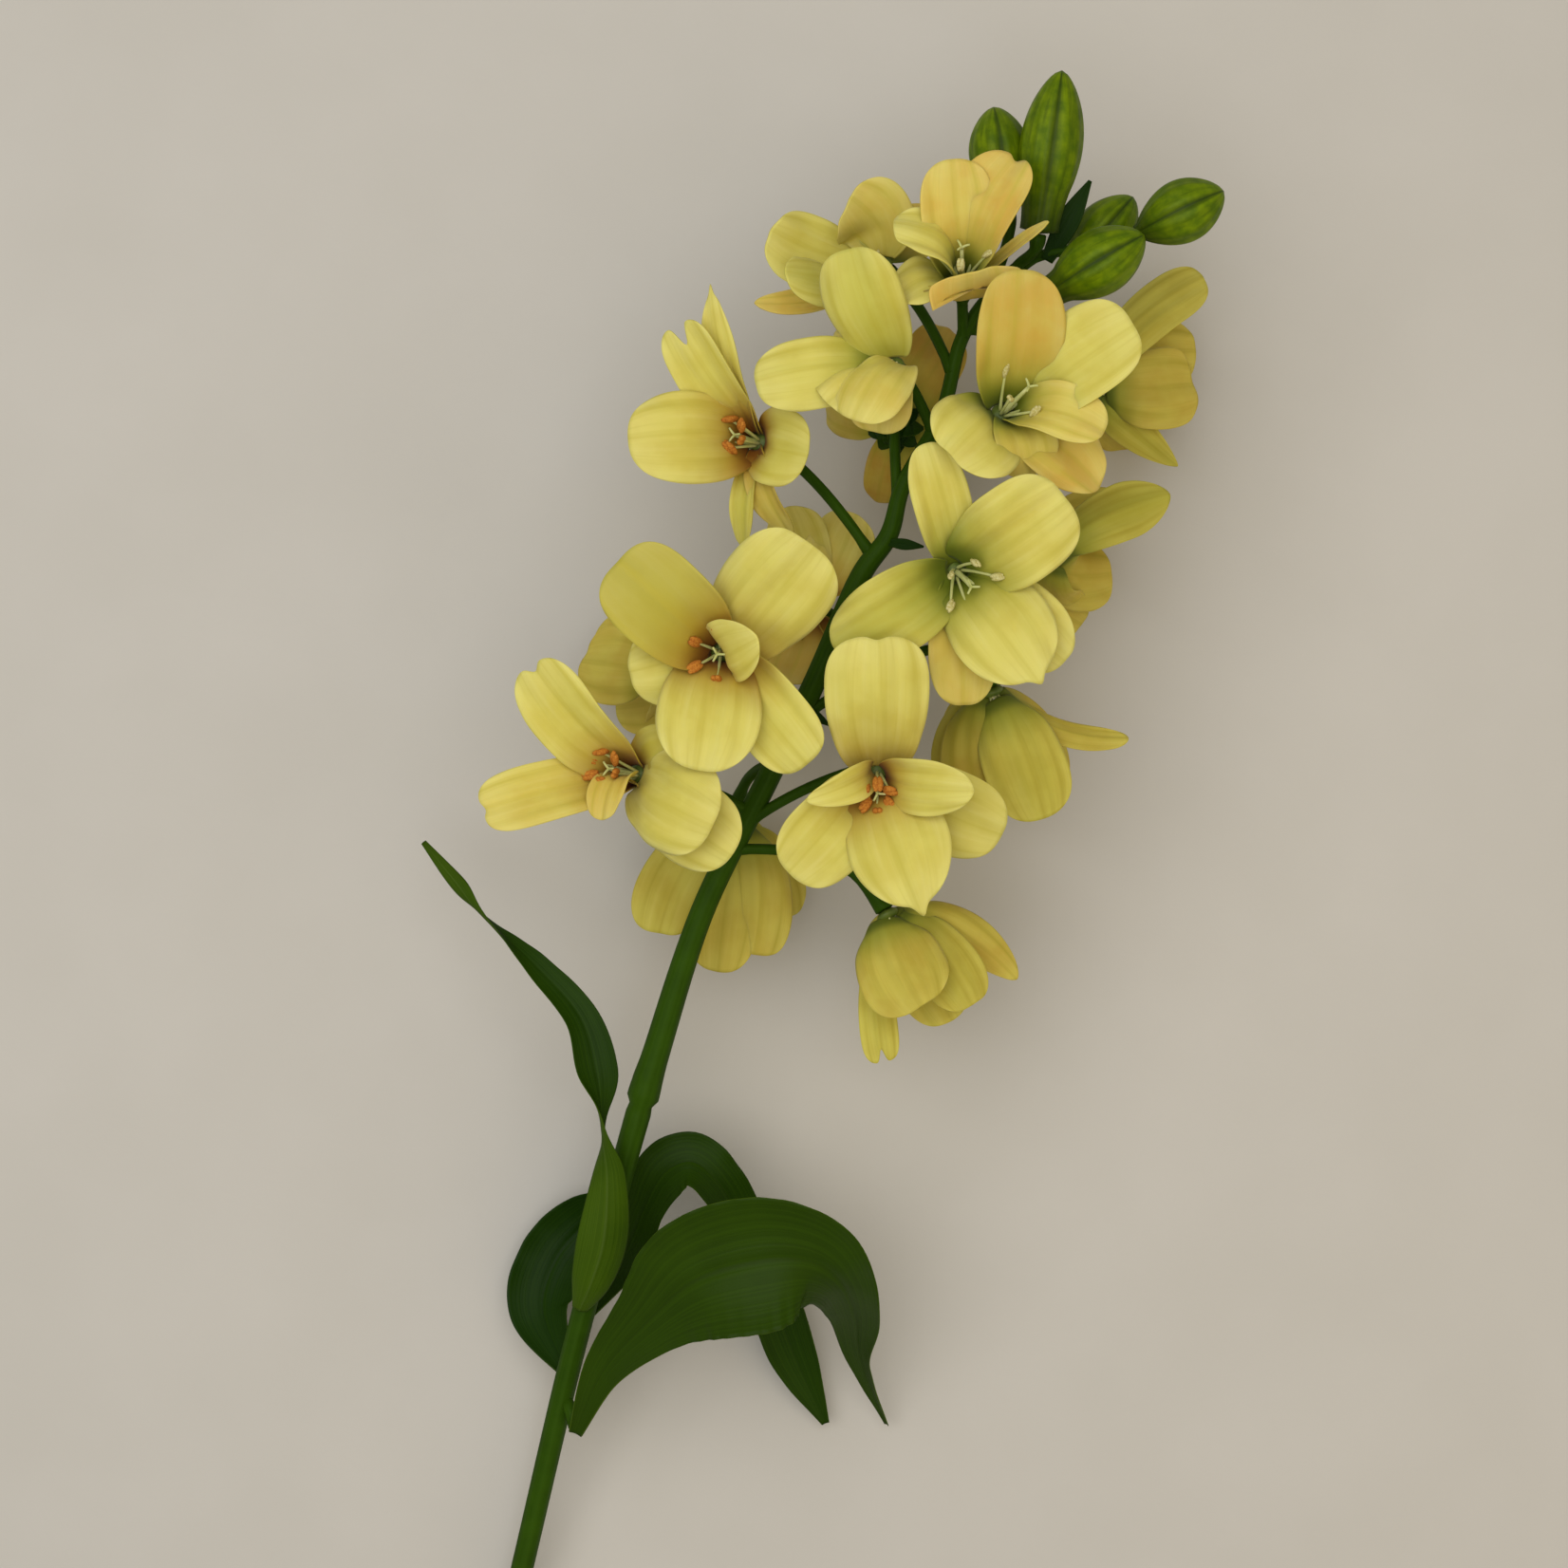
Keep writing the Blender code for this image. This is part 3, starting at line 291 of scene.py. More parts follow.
def plantSkin(name, look):
    # green tissue with lengthwise fibres: cuticle wax gives it a satin gloss over a mottled green
    material, tree, shader = newMaterial(name, look["roughness"], 1.45, Specular_IOR_Level=look["gloss"])
    uv = addNode(tree, "UVMap", uv_map="UVMap")
    place = addNode(tree, "SeparateXYZ", {0: uv.outputs[0]})
    where = addNode(tree, "TexCoord").outputs["Object"]
    stretched = addNode(tree, "Mapping", {0: uv.outputs[0], 3: (look["fibres"], look["fibreRun"], 1.0)})
    fibres = addNode(tree, "TexNoise", {"Vector": stretched.outputs[0], "Scale": 1.0, "Detail": 3.0})
    patchScale = 1 / (look["patchSize"] * mm)
    patches = addNode(tree, "TexNoise", {"Vector": where, "Scale": patchScale, "Detail": 4.0})
    fromMiddle = addNode(tree, "Math", {0: place.outputs[0], 1: 0.5}, operation="SUBTRACT")
    fromMiddle = addNode(tree, "Math", {0: fromMiddle.outputs[0]}, operation="ABSOLUTE")
    tint = addNode(tree, "SeparateColor", {0: addNode(tree, "Attribute", attribute_name="tint").outputs[0]})
    patch = addNode(tree, "MapRange", {0: patches.outputs[0], 1: 0.35, 2: 0.65, 4: look["patch"]})
    fibre = addNode(tree, "MapRange", {0: fibres.outputs[0], 1: 0.42, 2: 0.62, 4: look["fibre"]})
    middle = addNode(tree, "MapRange", {0: fromMiddle.outputs[0], 1: look["middleTo"], 2: 0.0,
                                        4: look["middle"]})
    colour = layered(tree, look["base"], [
        (look["patchColour"], patch.outputs[0]), (look["fibreColour"], fibre.outputs[0]),
        (look["middleColour"], middle.outputs[0]), (look["tintColour"], tint.outputs[1]),
        # dark colour by the tint's third share: the buds' own dark seams, darker bud bases, bracts and
        # sepal tuft, and painted shade on the leaves
        (look["darkColour"], tint.outputs[2])])
    tree.links.new(colour, shader.inputs["Base Color"])
    grain = addNode(tree, "TexNoise", {"Vector": where, "Scale": 1 / (0.6 * mm), "Detail": 2.0})
    relief = addNode(tree, "Math", {0: grain.outputs[0], 1: 0.3, 2: fibres.outputs[0]},
                     operation="MULTIPLY_ADD")
    bump = addNode(tree, "Bump", {"Height": relief.outputs[0], "Strength": look["relief"],
                                  "Distance": 0.3 * mm})
    tree.links.new(bump.outputs[0], shader.inputs["Normal"])
    return material


stemSkin = plantSkin("stem skin, ribbed and waxy", {
    "roughness": 0.5, "gloss": 0.07, "base": "#2f4d04", "patchColour": "#253f02", "patch": 0.7,
    "patchSize": 9, "fibreColour": "#38560c", "fibre": 0.4, "fibres": 14, "fibreRun": 3.0,
    "middleColour": "#2f4f18", "middle": 0.0, "middleTo": 0.02, "tintColour": "#5a7429",
    "darkColour": "#1c3009", "relief": 0.35})
leafUpper = plantSkin("leaf upper side, glossy cuticle", {
    "roughness": 0.42, "gloss": 0.09, "base": "#213b00", "patchColour": "#183000", "patch": 0.6,
    "patchSize": 14, "fibreColour": "#2d4902", "fibre": 0.5, "fibres": 34, "fibreRun": 0.7,
    "middleColour": "#142802", "middle": 0.55, "middleTo": 0.022, "tintColour": "#3c5006",
    "darkColour": "#102c04", "relief": 0.45})
leafUnder = plantSkin("leaf underside, paler and matt", {
    "roughness": 0.52, "gloss": 0.09, "base": "#3d5702", "patchColour": "#2e4802", "patch": 0.6,
    "patchSize": 14, "fibreColour": "#49620c", "fibre": 0.5, "fibres": 34, "fibreRun": 0.7,
    "middleColour": "#54682a", "middle": 0.5, "middleTo": 0.03, "tintColour": "#56680f",
    "darkColour": "#1b3407", "relief": 0.45})
budSkin = plantSkin("bud skin, mottled and waxy", {
    "roughness": 0.46, "gloss": 0.14, "base": "#526c00", "patchColour": "#748a00", "patch": 0.85,
    "patchSize": 3.5, "fibreColour": "#3b5000", "fibre": 0.5, "fibres": 26, "fibreRun": 2.2,
    "middleColour": "#48630a", "middle": 0.0, "middleTo": 0.02, "tintColour": "#6d8420",
    "darkColour": "#22340a", "relief": 0.4})
receptacleSkin = plantSkin("receptacle, green and waxy", {
    "roughness": 0.5, "gloss": 0.5, "base": "#56691c", "patchColour": "#45580f", "patch": 0.7,
    "patchSize": 2, "fibreColour": "#6d7c2a", "fibre": 0.4, "fibres": 10, "fibreRun": 2.0,
    "middleColour": "#56691c", "middle": 0.0, "middleTo": 0.02, "tintColour": "#7c8a34",
    "darkColour": "#3a4a10", "relief": 0.3})


def threadMaterial(name, look):
    # stamen tissue: filaments are smooth and translucent, anthers are furry with pollen
    material, tree, shader = newMaterial(name, look["roughness"], 1.4, Subsurface_Weight=look["inner"],
                                         Subsurface_Radius=(1.0, 0.9, 0.5), Subsurface_Scale=0.0006)
    where = addNode(tree, "TexCoord").outputs["Object"]
    grains = addNode(tree, "TexNoise", {"Vector": where, "Scale": 1 / (look["grain"] * mm), "Detail": 3.0})
    mask = addNode(tree, "MapRange", {0: grains.outputs[0], 1: 0.35, 2: 0.65})
    colour = layered(tree, look["base"], [(look["other"], mask.outputs[0])])
    tree.links.new(colour, shader.inputs["Base Color"])
    bump = addNode(tree, "Bump", {"Height": grains.outputs[0], "Strength": 0.5, "Distance": 0.2 * mm})
    tree.links.new(bump.outputs[0], shader.inputs["Normal"])
    return material


filamentSkin = threadMaterial("filament, pale and smooth", {
    "roughness": 0.45, "inner": 0.2, "base": "#cdcf8c", "other": "#b9bf72", "grain": 3.0})
creamPollen = threadMaterial("anther, cream pollen", {
    "roughness": 0.8, "inner": 0.05, "base": "#d5cf94", "other": "#b5a95c", "grain": 0.5})
rustPollen = threadMaterial("anther, rust pollen", {
    "roughness": 0.85, "inner": 0.0, "base": "#c8852e", "other": "#a8601a", "grain": 0.5})
print("materials made")

# Blooms. at is the receptacle, faces the way the mouth looks, stalkFrom how far up the stem the
# stalk leaves. A tepal is its tip from the receptacle, its half width, how far its edges are
# cupped in degrees, and its own shape and tints. Its shade tint is painted shade on tepals that
# lie in the shade of others, and its throat share is how much of the throat colour, own colour
# and painted shade together, it takes.
blooms = {
    "A": {"at": (47.8, 134.4, 79.2), "faces": (-0.05, 0.60, 0.80), "bow": -3.0, "stalkFrom": 122.0,
          "pollen": "cream",
          "threads": 13.0, "spread": 32.0, "lean": (0, 2, 0), "tepals": [
        ((-3, 31, 13), 10.5, 38, {"orange": 0.55, "end": 0.6}),
        ((14, 32, 13), 10.5, 38, {"orange": 0.7, "end": 0.7, "point": -0.03}),
        ((-19, 13, 15), 8.5, 30, {"green": 0.15}),
        ((-18, -5, 10), 8.0, 25, {"green": 0.1}),
        ((2, 1, 16.5), 14.0, 55, {"orange": 0.75, "end": 1.1, "widest": 0.72, "bow": 6}),
        ((22, 14, 16), 2.8, 60, {"bow": 1, "end": 0.3, "orange": 0.5})]},
    "B": {"at": (27.0, 141.0, 63.0), "faces": (-0.60, 0.45, 0.65), "opens": (-0.35, 0.25, 0.90),
          "stalkFrom": 112.0, "threads": 4.0, "spread": 12.0,
          "tepals": [
        ((-31, 8, 12), 10.5, 20, {"end": 0.5, "throat": 0.3}),
        ((-27, -4, 19), 8.0, -30, {"green": 0.35, "end": 0.3}),
        ((-35, -10, 3), 4.5, 50, {"end": 0.2, "orange": 0.6}),
        ((-9, 17, 13), 11.5, 20, {"orange": 0.35, "throat": 0.2}),
        ((8, 18, -3), 9.0, 25, {"orange": 0.5}),
        ((-5, -18, -1), 8.0, 30, {"green": 0.3})]},
    "C": {"at": (29.5, 112.0, 77.0), "faces": (-0.35, 0.10, 0.93), "bow": -2.0, "stalkFrom": 96.0,
          "threads": 1.5, "tepals": [
        ((-13, 29, 19), 11.5, -28, {"green": 0.45, "end": 0.6, "throat": 0.3}),
        ((-18, -11, 13), 10.5, -25, {"orange": 0.2, "end": 0.7, "throat": 0.3}),
        ((-4, -18, 4), 9.0, 20, {"orange": 0.4, "end": 0.6}),
        ((-37, -5, 7), 10.0, -15, {"end": 0.7, "green": 0.1}),
        ((-17, 8, -13), 7.0, 25, {"orange": 0.3}),
        ((-11, -16, 17), 10.0, -30, {"from": (1.0, 0.1, 0.3), "bow": -4.5, "curl": 2.0, "end": 0.7,
         "orange": 0.25, "throat": 0.1})]},
    "D": {"at": (-7.0, 93.5, 60.5), "faces": (-0.45, 0.05, 0.90), "bow": -3.0, "stalkFrom": 62.0,
          "pollen": "rust",
          "threads": 10.0, "lean": (-3, 1, 0), "tepals": [
        ((-35, -1, 17), 13.0, 10, {"end": 0.5, "orange": 0.15}),
        ((-22, 30, 17), 8.5, 50, {"end": 1.0, "point": -0.13, "green": 0.15}),
        ((-12.5, 39, 15), 5.6, 45, {"end": 0.1, "orange": 0.1, "point": 0.04}),
        ((13.5, -5, 17), 11.0, 30, {"green": 0.25, "shade": 0.1}),
        ((9, -26, 5), 5.5, 50, {"orange": 0.5, "shade": 0.3, "end": 0.2, "turn": 25}),
        ((-4, -29, 5), 4.0, 50, {"green": 0.45, "end": 0.2, "shade": 0.1})]},
    "E": {"at": (31.5, 100.0, 52.0), "faces": (0.15, 0.30, -0.94), "stalkFrom": 76.0, "threads": 10.0,
          "spread": 12.0,
          "tepals": [
        ((15, 27, -12), 9.0, 25, {"orange": 0.95}),
        ((-7, 23, -19), 8.0, 25, {"orange": 0.6}),
        ((-20, 8, -20), 8.0, 25, {"orange": 0.5}),
        ((-4, -20, -24), 6.5, 25, {"orange": 0.95}),
        ((14, -15, -22), 8.0, 25, {"orange": 0.6}),
        ((22, 2, -21), 8.0, 25, {"orange": 0.5})]},
    "F": {"at": (58.5, 99.0, 81.0), "faces": (0.22, 0.28, 0.93), "bow": -3.0, "stalkFrom": 90.0,
          "pollen": "cream",
          "threads": 12.5, "spread": 34.0, "lean": (5, 4, 0), "tepals": [
        ((4, 36, 19), 12.0, 12, {"orange": 0.75, "end": 0.6, "shade": 0.25}),
        ((33, 22, 19), 12.5, 30, {"end": 0.8, "green": 0.1}),
        ((26, -6, 17), 8.5, 45, {"end": 0.6, "orange": 0.35}),
        ((26, -20, 3), 11.0, 20, {"end": 0.15, "orange": 0.6}),
        ((7, -17, 5), 9.0, 25, {"orange": 0.3, "shade": 0.2}),
        ((-14.5, -13.5, 20), 13.5, -14, {"end": 0.65})]},
    "G": {"at": (88.0, 111.0, 33.4), "faces": (0.90, 0.10, -0.30), "opens": (0.45, 0.00, -0.90),
          "stalkFrom": 124.0, "threads": 1.5,
          "tepals": [
        ((30, 31, 2), 8.0, 40, {"end": 0.7, "green": 0.1, "widest": 0.7}),
        ((29, 12, -9), 11.0, 30, {"orange": 0.4}),
        ((28, 2, -3), 12.0, 30, {"orange": 0.45, "end": 0.8}),
        ((23.5, -21, -5), 6.5, 40, {"end": 0.0, "widest": 0.35, "bow": 1, "orange": 0.1, "green": 0.3}),
        ((14, -13, -33), 9.0, 25, {"orange": 0.5}),
        ((10, 16, -32), 9.0, 25, {"orange": 0.4})]},
    "H": {"at": (46.3, 57.0, 77.0), "faces": (0.10, -0.05, 0.99), "bow": -3.0, "stalkFrom": 38.0,
          "pollen": "cream",
          "threads": 12.0, "spread": 32.0, "lean": (3, -5, 0), "tepals": [
        ((-9, 33, 17), 8.0, 25, {"end": 0.5}),
        ((28, 18, 21), 13.5, 6, {"end": 0.85, "crease": 3.0, "pleat": 1.3}),
        ((29, -24, 8), 11.0, 10, {"end": 0.5}),
        ((20.5, -28.5, 17), 14.0, -22, {"end": 0.45, "point": 0.05, "pleat": 0.5}),
        ((1.5, -36, 6), 9.5, 28, {"shade": 0.25, "orange": 0.45}),
        ((-33, -21, 8), 11.5, 30, {"end": 0.35, "widest": 0.55, "green": 0.55, "shade": 0.12,
         "crease": 4.0, "pleat": 0.6})]},
    "I": {"at": (74.0, 63.0, 50.0), "faces": (0.90, 0.10, -0.35), "opens": (0.45, 0.00, -0.90),
          "stalkFrom": 46.0, "threads": 1.5,
          "tepals": [
        ((33, 17, -2), 8.5, 30, {"end": 0.15, "widest": 0.66, "green": 0.45}),
        ((24, 14, -20), 9.0, 30, {"orange": 0.4}),
        ((18, -4, -14), 10.5, 35, {"orange": 0.45}),
        ((10, -18, -18), 8.5, 30, {"orange": 0.45}),
        ((8, 0, -32), 8.0, 30, {"orange": 0.4}),
        ((8, 16, -30), 8.0, 30, {"orange": 0.4})]},
    "J": {"at": (-17.0, 35.5, 78.0), "faces": (0.00, -0.10, 0.99), "bow": -3.0, "stalkFrom": 14.0,
          "pollen": "rust",
          "threads": 10.5, "spread": 32.0, "lean": (-1, 0, 0), "tepals": [
        ((-27, 23, 20), 13.5, 42, {"end": 0.85, "green": 0.3, "shade": 0.5, "pleat": 0.5}),
        ((24.5, 27, 24), 15.0, -24, {"end": 0.75, "throat": 0.5}),
        ((10, 3, 23), 9.0, 12, {"end": 0.3, "throat": 0.5, "curl": -2.0, "widest": 0.5}),
        ((23.5, -30, 10), 10.5, 35, {"end": 0.8, "green": 0.2, "crease": 2.0, "pleat": 0.8}),
        ((-5.5, -32, 18), 14.0, -12, {"end": 0.5, "crease": -2.5, "pleat": 0.7}),
        ((-24, -6, 8), 11.0, 25, {"shade": 0.1})]},
    "K": {"at": (8.0, 49.0, 42.0), "faces": (-0.30, 0.10, 0.94), "stalkFrom": 49.0,
          "stalkBy": (10.0, -5.0, -5.0),
          "pollen": "rust", "tepals": [
        ((12, 26, 4), 10.0, 22, {"orange": 0.3}),
        ((-7, 28, 3), 9.0, 25, {"orange": 0.2}),
        ((-26, 8, 2), 9.0, 25, {"orange": 0.4}),
        ((-22, -14, 2), 9.0, 25, {"orange": 0.4}),
        ((-8, -21, 8), 9.0, 25, {"orange": 0.6}),
        ((9, -22, 2), 8.0, 25, {"orange": 0.5})]},
    "L": {"at": (-39.5, 2.5, 72.0), "faces": (-0.45, 0.08, 0.89), "bow": -3.0, "stalkFrom": -8.0,
          "pollen": "rust",
          "threads": 10.5, "lean": (-4, 1, 0), "tepals": [
        ((-27.5, 29, 22), 10.5, 45, {"end": 0.8, "green": 0.1, "point": -0.04, "crease": 1.5}),
        ((-40.5, -9.5, 20), 9.0, 45, {"end": 1.1, "point": -0.02, "orange": 0.25, "crease": 3.0}),
        ((-9, -12, 17), 6.0, 40, {"orange": 0.45, "shade": 0.1}),
        ((21, -13, 22), 14.0, -25, {"crease": 1.8, "throat": 0.1, "pleat": 0.7, "end": 0.7}),
        ((26, -21, 14), 12.0, -18, {"throat": 0.3, "pleat": 0.5}),
        ((12.5, 7, 10), 9.5, 25, {"shade": 0.5})]},
    "M": {"at": (-33.5, 32.0, 31.2), "faces": (-0.85, 0.10, -0.45), "opens": (-0.45, 0.00, -0.90),
          "stalkFrom": 4.0, "threads": 1.5,
          "tepals": [
        ((-24, 3, -9), 12.0, 38, {"orange": 0.4}),
        ((-14, 16, -22), 10.0, 30, {"orange": 0.5}),
        ((0, 14, -31), 8.0, 30, {"orange": 0.4}),
        ((-2, -14, -30), 8.0, 30, {"orange": 0.4}),
        ((-15, -10, -24), 10.0, 30, {"orange": 0.4}),
        ((-21, 10, -21), 10.0, 30, {"orange": 0.4})]},
    "N": {"at": (25.0, 2.5, 75.0), "faces": (0.00, -0.22, 0.97), "bow": -3.0, "stalkFrom": -12.0,
          "pollen": "rust",
          "threads": 9.0, "lean": (0, -4, 0), "tepals": [
        ((-0.5, 36.5, 20), 14.0, -6, {"end": 0.8, "widest": 0.66, "crease": 1.2, "point": -0.02,
         "throat": 0.4, "pleat": 0.4}),
        ((25, -4, 24), 8.0, 20, {"end": 0.25, "curl": 1.0, "shade": 0.05}),
        ((33.5, -15.5, 9), 12.0, 26, {"shade": 0.2}),
        ((11, -34.5, 18), 14.0, -16, {"end": 0.3, "point": 0.06, "pleat": 0.5}),
        ((-19, -7, 20), 5.0, 15, {"from": (-0.6, 0.6, 0.2), "end": 0.15, "curl": 0.0, "throat": 0.6,
         "widest": 0.5}),
        ((-23.5, -26.5, 11), 12.0, 42, {"green": 0.1, "shade": 0.1, "pleat": 0.4})]},
    "O": {"at": (57.0, 25.5, 58.0), "faces": (0.30, -0.90, -0.15), "opens": (0.15, -0.50, -0.85),
          "stalkFrom": 18.0, "threads": 1.5,
          "tepals": [
        ((1, -35, -3), 9.5, 38, {"orange": 0.5, "shade": 0.3}),
        ((14, -35, 2), 12.0, 38, {"green": 0.2, "orange": 0.1, "bow": 2.5, "pleat": 0.6}),
        ((38, -13, -4), 4.3, 45, {"bow": -4, "end": 0.4, "shade": 0.1, "orange": 0.3}),
        ((20, -27, -26), 10.0, 30, {"orange": 0.4}),
        ((-1, -28, -26), 11.0, 30, {"orange": 0.4}),
        ((-8, -26, -10), 9.5, 35, {"shade": 0.2})]},
    "P": {"at": (-13.5, -11.0, 34.0), "faces": (-0.10, -0.95, -0.20), "opens": (-0.05, -0.50, -0.86),
          "stalkFrom": 6.0, "threads": 1.5,
          "tepals": [
        ((-22, -31, 1), 10.5, 30, {"orange": 0.2, "shade": 0.1, "end": 0.9, "pleat": 0.6}),
        ((-5, -42, 0), 10.5, 30, {"orange": 0.3, "shade": 0.1, "pleat": 0.6}),
        ((5, -37, 1), 9.5, 35, {"orange": 0.35, "shade": 0.1, "end": 0.8}),
        ((15, -27, -15), 8.0, 30, {"orange": 0.3}),
        ((1, -29, -24), 9.0, 30, {"orange": 0.3}),
        ((-16, -28, -20), 9.0, 30, {"orange": 0.3})]},
    "Q": {"at": (28.5, -36.0, 54.0), "faces": (0.45, -0.80, 0.20), "opens": (0.30, -0.50, -0.80),
          "stalkFrom": -18.0, "threads": 1.5,
          "tepals": [
        ((9, -25, 10), 13.0, 35, {"orange": 0.3, "bow": 1.5, "pleat": 0.5}),
        ((23, -25, 5), 9.5, 35, {"orange": 0.2, "green": 0.2, "bow": 2}),
        ((36, -18, -3), 7.5, 40, {"end": 0.1, "orange": 0.5, "widest": 0.5}),
        ((18, -30, -8), 10.0, 30, {"orange": 0.2}),
        ((8, -28, -20), 9.0, 30, {"orange": 0.3}),
        ((-1, -41, -3), 5.5, 35, {"end": 1.0, "widest": 0.75, "green": 0.2, "point": -0.08})]},
}

tepal = {"across": 28, "along": 36, "thickness": 0.5, "edge": 0.5, "widest": 0.6, "rootWidth": 0.42,
         "rise": 0.7, "end": 0.55, "endReach": 0.8, "point": 0.0, "rootRadius": 2.5, "outerRoot": 0.5,
         "innerRoot": 1.9, "bow": 5.0, "innerLess": 2.0, "bowPlace": 0.42, "curl": 3.5, "curlFrom": 0.45,
         "cupAtRoot": 1.35, "cupLost": 0.9, "wrap": 45, "roll": 0.12, "wave": 0.06, "ruffle": 0.045,
         "fold": 0.13, "crease": 0.3, "sag": 0.09, "pleat": 0.05}


def innerRing(bloom):
    # every second tepal round the bloom is an inner one: the three that reach further forward
    facing = Vector(bloom["faces"]).normalized()
    sideways = facing.orthogonal().normalized()
    upward = facing.cross(sideways)
    tips = [Vector(tip) for tip, *rest in bloom["tepals"]]
    order = sorted(range(len(tips)), key=lambda i: math.atan2(tips[i].dot(upward), tips[i].dot(sideways)))
    return max(order[0::2], order[1::2], key=lambda ring: sum(tips[i].dot(facing) for i in ring))


def tepalOutline(widest, squareness):
    # share of the length and of the half width at u, v: a claw that widens to the widest place
    # and then a rounded end, squarer or more pointed
    reach = tepal["endReach"]
    endHalf = (1 - reach ** squareness) ** (1 / squareness)

    def outline(u, v):
        if u < widest:
            rise = math.sin(math.pi / 2 * u / widest) ** tepal["rise"]
            return u, tepal["rootWidth"] + (1 - tepal["rootWidth"]) * rise
        f = (u - widest) / (1 - widest)
        arc = (1 - (1 - (endHalf * abs(v)) ** squareness) ** (1 / squareness)) / (1 - reach)
        back = (1 - reach) * f ** 1.5
        return u - (1 - widest) * back * arc, (1 - (f - back) ** squareness) ** (1 / squareness)

    return outline


def tepalPlace(bloom, index):
    tip, half, cup, own = bloom["tepals"][index]
    facing = Vector(bloom["faces"]).normalized()
    opening = Vector(bloom.get("opens", bloom["faces"])).normalized()
    base = Vector(bloom["at"])
    outwards = Vector(own.get("from", tip))
    side = (outwards - facing * facing.dot(outwards)).normalized()
    ring = "inner" if index in innerRing(bloom) else "outer"
    root = base + facing * tepal[ring + "Root"] + side * tepal["rootRadius"]
    chord = base + Vector(tip) - root
    along = chord.normalized()
    towardsAxis = (facing - along * facing.dot(along)).normalized()
    inward = (opening - along * opening.dot(along)).normalized()
    bow = own.get("bow", bloom.get("bow", tepal["bow"]) - (tepal["innerLess"] if ring == "inner" else 0.0))
    curl = own.get("curl", tepal["curl"])
    middle = root + chord * tepal["bowPlace"] - towardsAxis * 2 * bow
    ending = base + Vector(tip) + inward * curl
    outline = tepalOutline(own.get("widest", tepal["widest"]), 1.4 + 2 * own.get("end", tepal["end"]))
    phase = 2.1 * index + base.x

    def place(u, v):
        s, share = outline(u, v)
        late = ease(u, 0.6, 1.0)
        s += own.get("point", tepal["point"]) * bell(v, 0.2) * late
        past = max(s - tepal["curlFrom"], 0.0) / (1 - tepal["curlFrom"])
        here = root * (1 - s) ** 2 + middle * 2 * s * (1 - s) + ending * s ** 2 - inward * curl * past ** 2
        heading = ((middle - root) * (1 - s) + (ending - middle) * s
                   - inward * curl * past / (1 - tepal["curlFrom"])).normalized()
        up = (opening - heading * opening.dot(heading)).normalized()
        turn = own.get("turn", 0.0) * ease(u, 0.05, 0.75)
        up = Matrix.Rotation(math.radians(turn), 3, heading) @ up
        aside = v * share
        bend = cup * (tepal["cupAtRoot"] - tepal["cupLost"] * u)
        bend += tepal["wrap"] * (1 - ease(u, 0.0, 0.35)) / share
        sideways, lift = arcAcross(half, math.radians(bend), aside)
        # the rolled back margin, its slow wave and its quick ruffle
        lift -= tepal["roll"] * half * abs(aside) ** 3 * ease(u, 0.3, 1.0)
        lift += tepal["wave"] * half * math.sin(5.0 * s + phase + 1.6 * aside) * aside * aside * s
        ruffle = math.sin(11.0 * s + 2.3 * phase + 4.0 * aside) * abs(aside) ** 3 * ease(s, 0.3, 0.8)
        lift += tepal["ruffle"] * half * ruffle
        # the crease along the middle, the pleats beside it, and the soft folds and sags
        crease = bell(aside, 0.13) * ease(u, 0.0, 0.15) * (1 - 0.6 * u)
        lift -= tepal["crease"] * own.get("crease", 1.0) * crease
        pleat = math.cos(9.5 * aside + phase) * ease(u, 0.0, 0.25) * (1 - 0.5 * u)
        lift += tepal["pleat"] * own.get("pleat", 0.0) * half * pleat
        fold = noise.noise(Vector((0.7 * s, 2.4 * aside, 3.1 * phase))) * ease(u, 0.05, 0.4)
        lift += tepal["fold"] * half * fold
        lift += tepal["sag"] * half * noise.noise(Vector((2.4 * s, 1.7 * aside, phase))) * s
        return here + heading.cross(up) * sideways + up * lift

    return place


def makePetals(letter, bloom):
    bm = newMesh()
    for index, (*_, own) in enumerate(bloom["tepals"]):
        rusty = 1.0 if bloom.get("pollen") == "rust" else 0.0
        # tint: orange, green and painted shade shares, and whether the throat is rust
        tint = (own.get("orange", 0.08), own.get("green", 0.06), own.get("shade", 0.0), rusty)
        place = tepalPlace(bloom, index)
        # the throat share scales the throat colouring, own base colour with painted shade, and is low on
        # tepals whose root lies open to the light
        shapedSheet(bm, tepal["across"], tepal["along"], place, tint, 0, own.get("throat", 1.0))
    lowest = tepal["thickness"] * 0.6
    for vert in bm.verts:
        vert.co.z = max(vert.co.z, lowest)      # petals that lie on the surface flatten on it
    node = "bloom_" + letter + "_petals"
    piece = putInPlace("petals" + letter, bm, [petalInside, petalOutside], node)
    giveThickness(piece, tepal["thickness"], tepal["edge"])


# Stamens: a domed receptacle, six curved filaments with two-lobed anthers, and a style that
# parts in three
heart = {"radius": 3.2, "back": 1.4, "domeHeight": 1.6, "sides": 24, "rings": 12,
         "threads": 13.0, "spread": 26.0, "rustSpread": 17.0, "thread": 0.5, "threadSteps": 6,
         "anther": 3.6, "antherRadius": 0.75, "rustFuller": 1.3, "shortBelow": 6.0,
         "style": 12.0, "styleLess": 2.5, "styleRadius": 0.6, "lobe": 2.2, "lobeRadius": 0.42}


